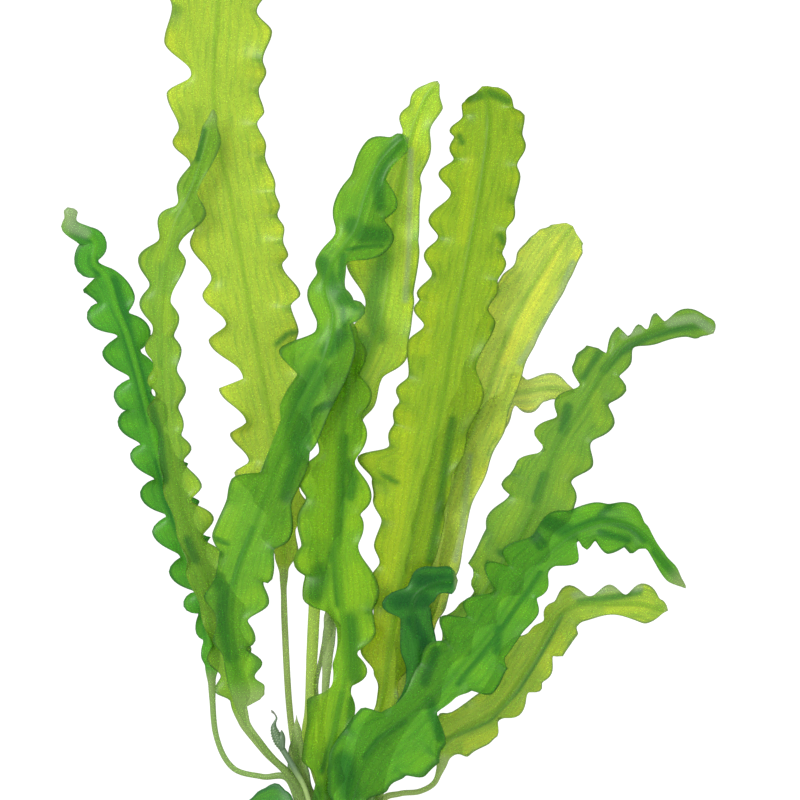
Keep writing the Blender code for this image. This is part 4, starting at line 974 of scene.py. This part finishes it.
def leaf_material(name, leaf):
    """Thin, see-through leaf with fine lengthwise veins, a midrib, painted shade along its margin, in its pleats
    and where it lies folded, and painted light on its lobes and along light strokes.
    """
    tint = leaf["colour"]
    made = Material(name + "_tissue")
    across, along, half = made.attribute("leaf_place")
    crest, slope, from_tip = made.attribute("leaf_wave")
    side = abs(across)
    from_margin = (1 - side) * half
    from_middle = side * half

    # strengths of painted shade where folded, of painted light and of faded colour
    fold_shade, light, faded = made.attribute("leaf_tone")
    body = colour(*tint)
    painted_shade_and_streak = colour(*[channel * gain for channel, gain in zip(tint, SHADE_AND_STREAK_GAIN)])
    painted_light_and_pale = colour(*[min(channel * gain, 1) for channel, gain in zip(tint, PAINTED_LIGHT_AND_PALE_GAIN)])
    rib_colour = colour(*[channel * gain for channel, gain in zip(tint, RIB_GAIN)])
    vein_colour = colour(*[channel * gain for channel, gain in zip(tint, VEIN_GAIN)])
    rim_shade_colour = colour(*[channel * gain for channel, gain in zip(tint, RIM_SHADE_GAIN)])

    patches = made.speckle(55.0, 3.0)
    grain = made.speckle(700.0, 2.0)
    lengthwise = made.node("ShaderNodeCombineXYZ", values={0: across * half * 0.6, 1: along * 0.07})
    streaks = made.speckle(1.0, 4.0, lengthwise)
    blade = half.between(2.0, 4.5)
    vein_wave = ((side * VEINS_PER_HALF + patches * 0.5).fraction() - 0.5) * 2
    veins = abs(vein_wave).between(0.6, 0.98) * blade
    rungs = abs(((from_tip / RUNG_STEP + side * 1.5 + patches * 2).fraction() - 0.5) * 2).between(0.8, 1.0)
    # painted shade: a darker line along the margin, where light crosses the thin edge aslant
    rim_shade = 1 - from_margin.between(0.35, 0.95)
    rib = (1 - from_middle.between(0.4, 2.0)) * blade
    # painted shade: darker at the notches, in the pleats of the ruffles
    pleat_shade = (0 - crest).between(0.35, 0.95)

    # painted light: the crest of each ruffle is lighter and yellower, as where light passes one layer of leaf
    paint = made.blend(crest.between(0.05, 0.9) * 0.6, body, painted_light_and_pale)
    paint = made.blend(pleat_shade * 0.6, paint, painted_shade_and_streak)
    paint = made.blend(streaks.between(0.5, 0.72) * 0.4, paint, painted_shade_and_streak)
    paint = made.blend((1 - streaks).between(0.5, 0.72) * 0.35, paint, painted_light_and_pale)
    # painted light along the listed light strokes
    paint = made.blend(light * 0.7, paint, painted_light_and_pale)
    # painted shade along the listed strokes where the leaf lies folded, as where light passes two layers
    paint = made.blend(fold_shade * (0.75 + patches * 0.4), paint, painted_shade_and_streak)
    paint = made.blend(grain.between(0.35, 0.75) * 0.03, paint, painted_light_and_pale)
    paint = made.blend(veins * 0.35, paint, vein_colour)
    paint = made.blend(rungs * blade * 0.12, paint, vein_colour)
    paint = made.blend(rib * abs(leaf["rib"]), paint, painted_light_and_pale if leaf["rib"] < 0 else rib_colour)
    paint = made.blend((1 - half.between(1.6, 3.6)) * 0.8, paint, colour(*PETIOLE_COLOUR))
    paint = made.blend(rim_shade * 0.75 * blade, paint, rim_shade_colour)
    paint = made.blend(faded * 0.6, paint, colour(*FADED_COLOUR))

    bumps = made.node(
        "ShaderNodeBump",
        values={"Strength": 0.25, "Distance": 0.0003, "Height": grain * 0.4 + veins * 0.5 + rungs * 0.15},
        output="Normal",
    )
    made.set(
        Base_Color=paint,
        Roughness=0.22 + grain * 0.12,
        Normal=bumps,
        Metallic=0.0,
        IOR=1.04,
        Transmission_Weight=leaf.get("clear", LEAF_CLEAR),
        Coat_Weight=0.12 + grain * 0.08,
        Coat_Roughness=0.3,
    )
    made.data.use_backface_culling = False
    return made.data


def tuber_material():
    """Brown wrinkled skin with painted shade in its grooves, pale brown roots and olive leaf sheaths."""
    made = Material("tuber_skin")
    kind, relief, scar = made.attribute("skin_place")
    patches = made.speckle(90.0, 3.0)
    grain = made.speckle(900.0, 3.0)
    is_root = kind.between(0.2, 0.8)
    is_sheath = kind.between(1.2, 1.8)
    paint = made.blend(patches.between(0.35, 0.65), colour(0.16, 0.085, 0.035), colour(0.29, 0.17, 0.07))
    # painted shade: near black in the grooves of the tuber's wrinkles
    paint = made.blend(relief.between(0.0, 0.12) * (1 - is_root), colour(0.05, 0.026, 0.012), paint)
    paint = made.blend(scar * 0.5 * (1 - is_root), paint, colour(0.09, 0.05, 0.022))
    paint = made.blend(is_root * 0.9, paint, colour(0.42, 0.31, 0.16))
    paint = made.blend(is_root * patches.between(0.45, 0.7) * 0.6, paint, colour(0.24, 0.15, 0.07))
    paint = made.blend(is_sheath * 0.9, paint, colour(0.27, 0.29, 0.09))
    paint = made.blend(is_sheath * grain.between(0.5, 0.7) * 0.4, paint, colour(0.20, 0.14, 0.06))
    paint = made.blend(grain.between(0.4, 0.7) * 0.15, paint, colour(0.45, 0.34, 0.20))
    bumps = made.node(
        "ShaderNodeBump",
        values={"Strength": 0.6, "Distance": 0.0004, "Height": grain * 0.7 + patches * 0.5},
        output="Normal",
    )
    made.set(Base_Color=paint, Roughness=0.62 + grain * 0.2, Normal=bumps, Metallic=0.0)
    return made.data


def bud_material():
    """Dark green bud with closed florets, painted lighter on their raised tops as a highlight, on an olive stalk.
    """
    made = Material("bud_tissue")
    kind, relief, along = made.attribute("skin_place")
    grain = made.speckle(1100.0, 2.0)
    bud = along.between(0.4, 0.6).most(kind.between(3.2, 3.8))
    paint = made.blend(bud, colour(0.20, 0.30, 0.08), colour(0.055, 0.11, 0.045))
    # painted highlight: the raised florets lighter than the dark bud
    paint = made.blend(relief.between(0.0, 0.1) * bud * 0.7, paint, colour(0.16, 0.24, 0.10))
    paint = made.blend(grain.between(0.4, 0.7) * 0.2, paint, colour(0.03, 0.07, 0.03))
    paint = made.blend(along.between(0.93, 0.97) * 0.6, paint, colour(0.12, 0.12, 0.09))
    bumps = made.node(
        "ShaderNodeBump",
        values={"Strength": 0.35, "Distance": 0.0002, "Height": grain},
        output="Normal",
    )
    made.set(Base_Color=paint, Roughness=0.38 + grain * 0.15, Normal=bumps, Metallic=0.0, Coat_Weight=0.1)
    return made.data


def dress(piece, material, *nodes, slot):
    """Gives a piece its material and lets it stand for its nodes of the frame."""
    piece.data.materials.clear()
    piece.data.materials.append(material)
    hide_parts(*nodes)
    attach(piece, "root")


def make_leaves():
    for name, leaf in LEAVES.items():
        piece = leaf_skin(name + "_blade", leaf)
        dress(piece, leaf_material(name, leaf), name, slot=leaf["slot"])


def make_stage():
    """The light table, the room's even light and the camera."""
    bpy.ops.object.select_all(action="DESELECT")
    bpy.ops.mesh.primitive_plane_add(size=FLOOR_SIZE, location=(0, 0, -0.0005))
    floor = bpy.context.object
    floor.name = "light_table"
    made = Material("light_table_top")
    seen_directly = made.node("ShaderNodeLightPath", output="Is Camera Ray")
    made.set(
        Base_Color=colour(0.02, 0.02, 0.02),
        Roughness=0.9,
        Emission_Color=colour(1, 1, 1),
        Emission_Strength=GLOW_THROUGH_LEAVES + seen_directly * (FLOOR_GLOW - GLOW_THROUGH_LEAVES),
    )
    floor.data.materials.append(made.data)

    world = bpy.data.worlds.new("even_light")
    world.use_nodes = True
    world.node_tree.nodes["Background"].inputs["Color"].default_value = colour(1, 1, 1)
    world.node_tree.nodes["Background"].inputs["Strength"].default_value = WORLD_LIGHT
    bpy.context.scene.world = world

    for name, place, energy in (("window_light", (-1.2, 1.0, 1.6), 50.0), ("room_light", (1.4, -0.8, 1.8), 15.0)):
        bpy.ops.object.light_add(type="AREA", location=place)
        lamp = bpy.context.object
        lamp.name = name
        lamp.data.shape = "DISK"
        lamp.data.size = 1.0
        lamp.data.energy = energy
        lamp.rotation_euler = (-Vector(place)).to_track_quat("-Z", "Y").to_euler()

    middle_x, middle_y = PLANT_SHIFT[0] * MM, PLANT_SHIFT[1] * MM
    bpy.ops.object.camera_add(location=(middle_x, middle_y, CAMERA_HEIGHT), rotation=(0, 0, 0))
    camera = bpy.context.object
    camera.data.lens = CAMERA_LENS
    camera.data.sensor_width = CAMERA_SENSOR
    camera.data.clip_end = 20.0
    bpy.context.scene.camera = camera
    bpy.context.scene.view_settings.view_transform = "Standard"
    bpy.context.scene.cycles.max_bounces = 32
    bpy.context.scene.cycles.transmission_bounces = 32


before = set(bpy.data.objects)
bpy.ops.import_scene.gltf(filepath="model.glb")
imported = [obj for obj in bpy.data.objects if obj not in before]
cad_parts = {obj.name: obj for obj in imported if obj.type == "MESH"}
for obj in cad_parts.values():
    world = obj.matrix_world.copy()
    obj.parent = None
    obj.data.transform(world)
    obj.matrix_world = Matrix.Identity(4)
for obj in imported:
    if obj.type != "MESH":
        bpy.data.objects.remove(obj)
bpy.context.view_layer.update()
make_stage()
make_leaves()
dress(bud_skin(), bud_material(), "flower_bud", slot="bud")
dress(tuber_skin(), tuber_material(), "tuber", slot="tuber")
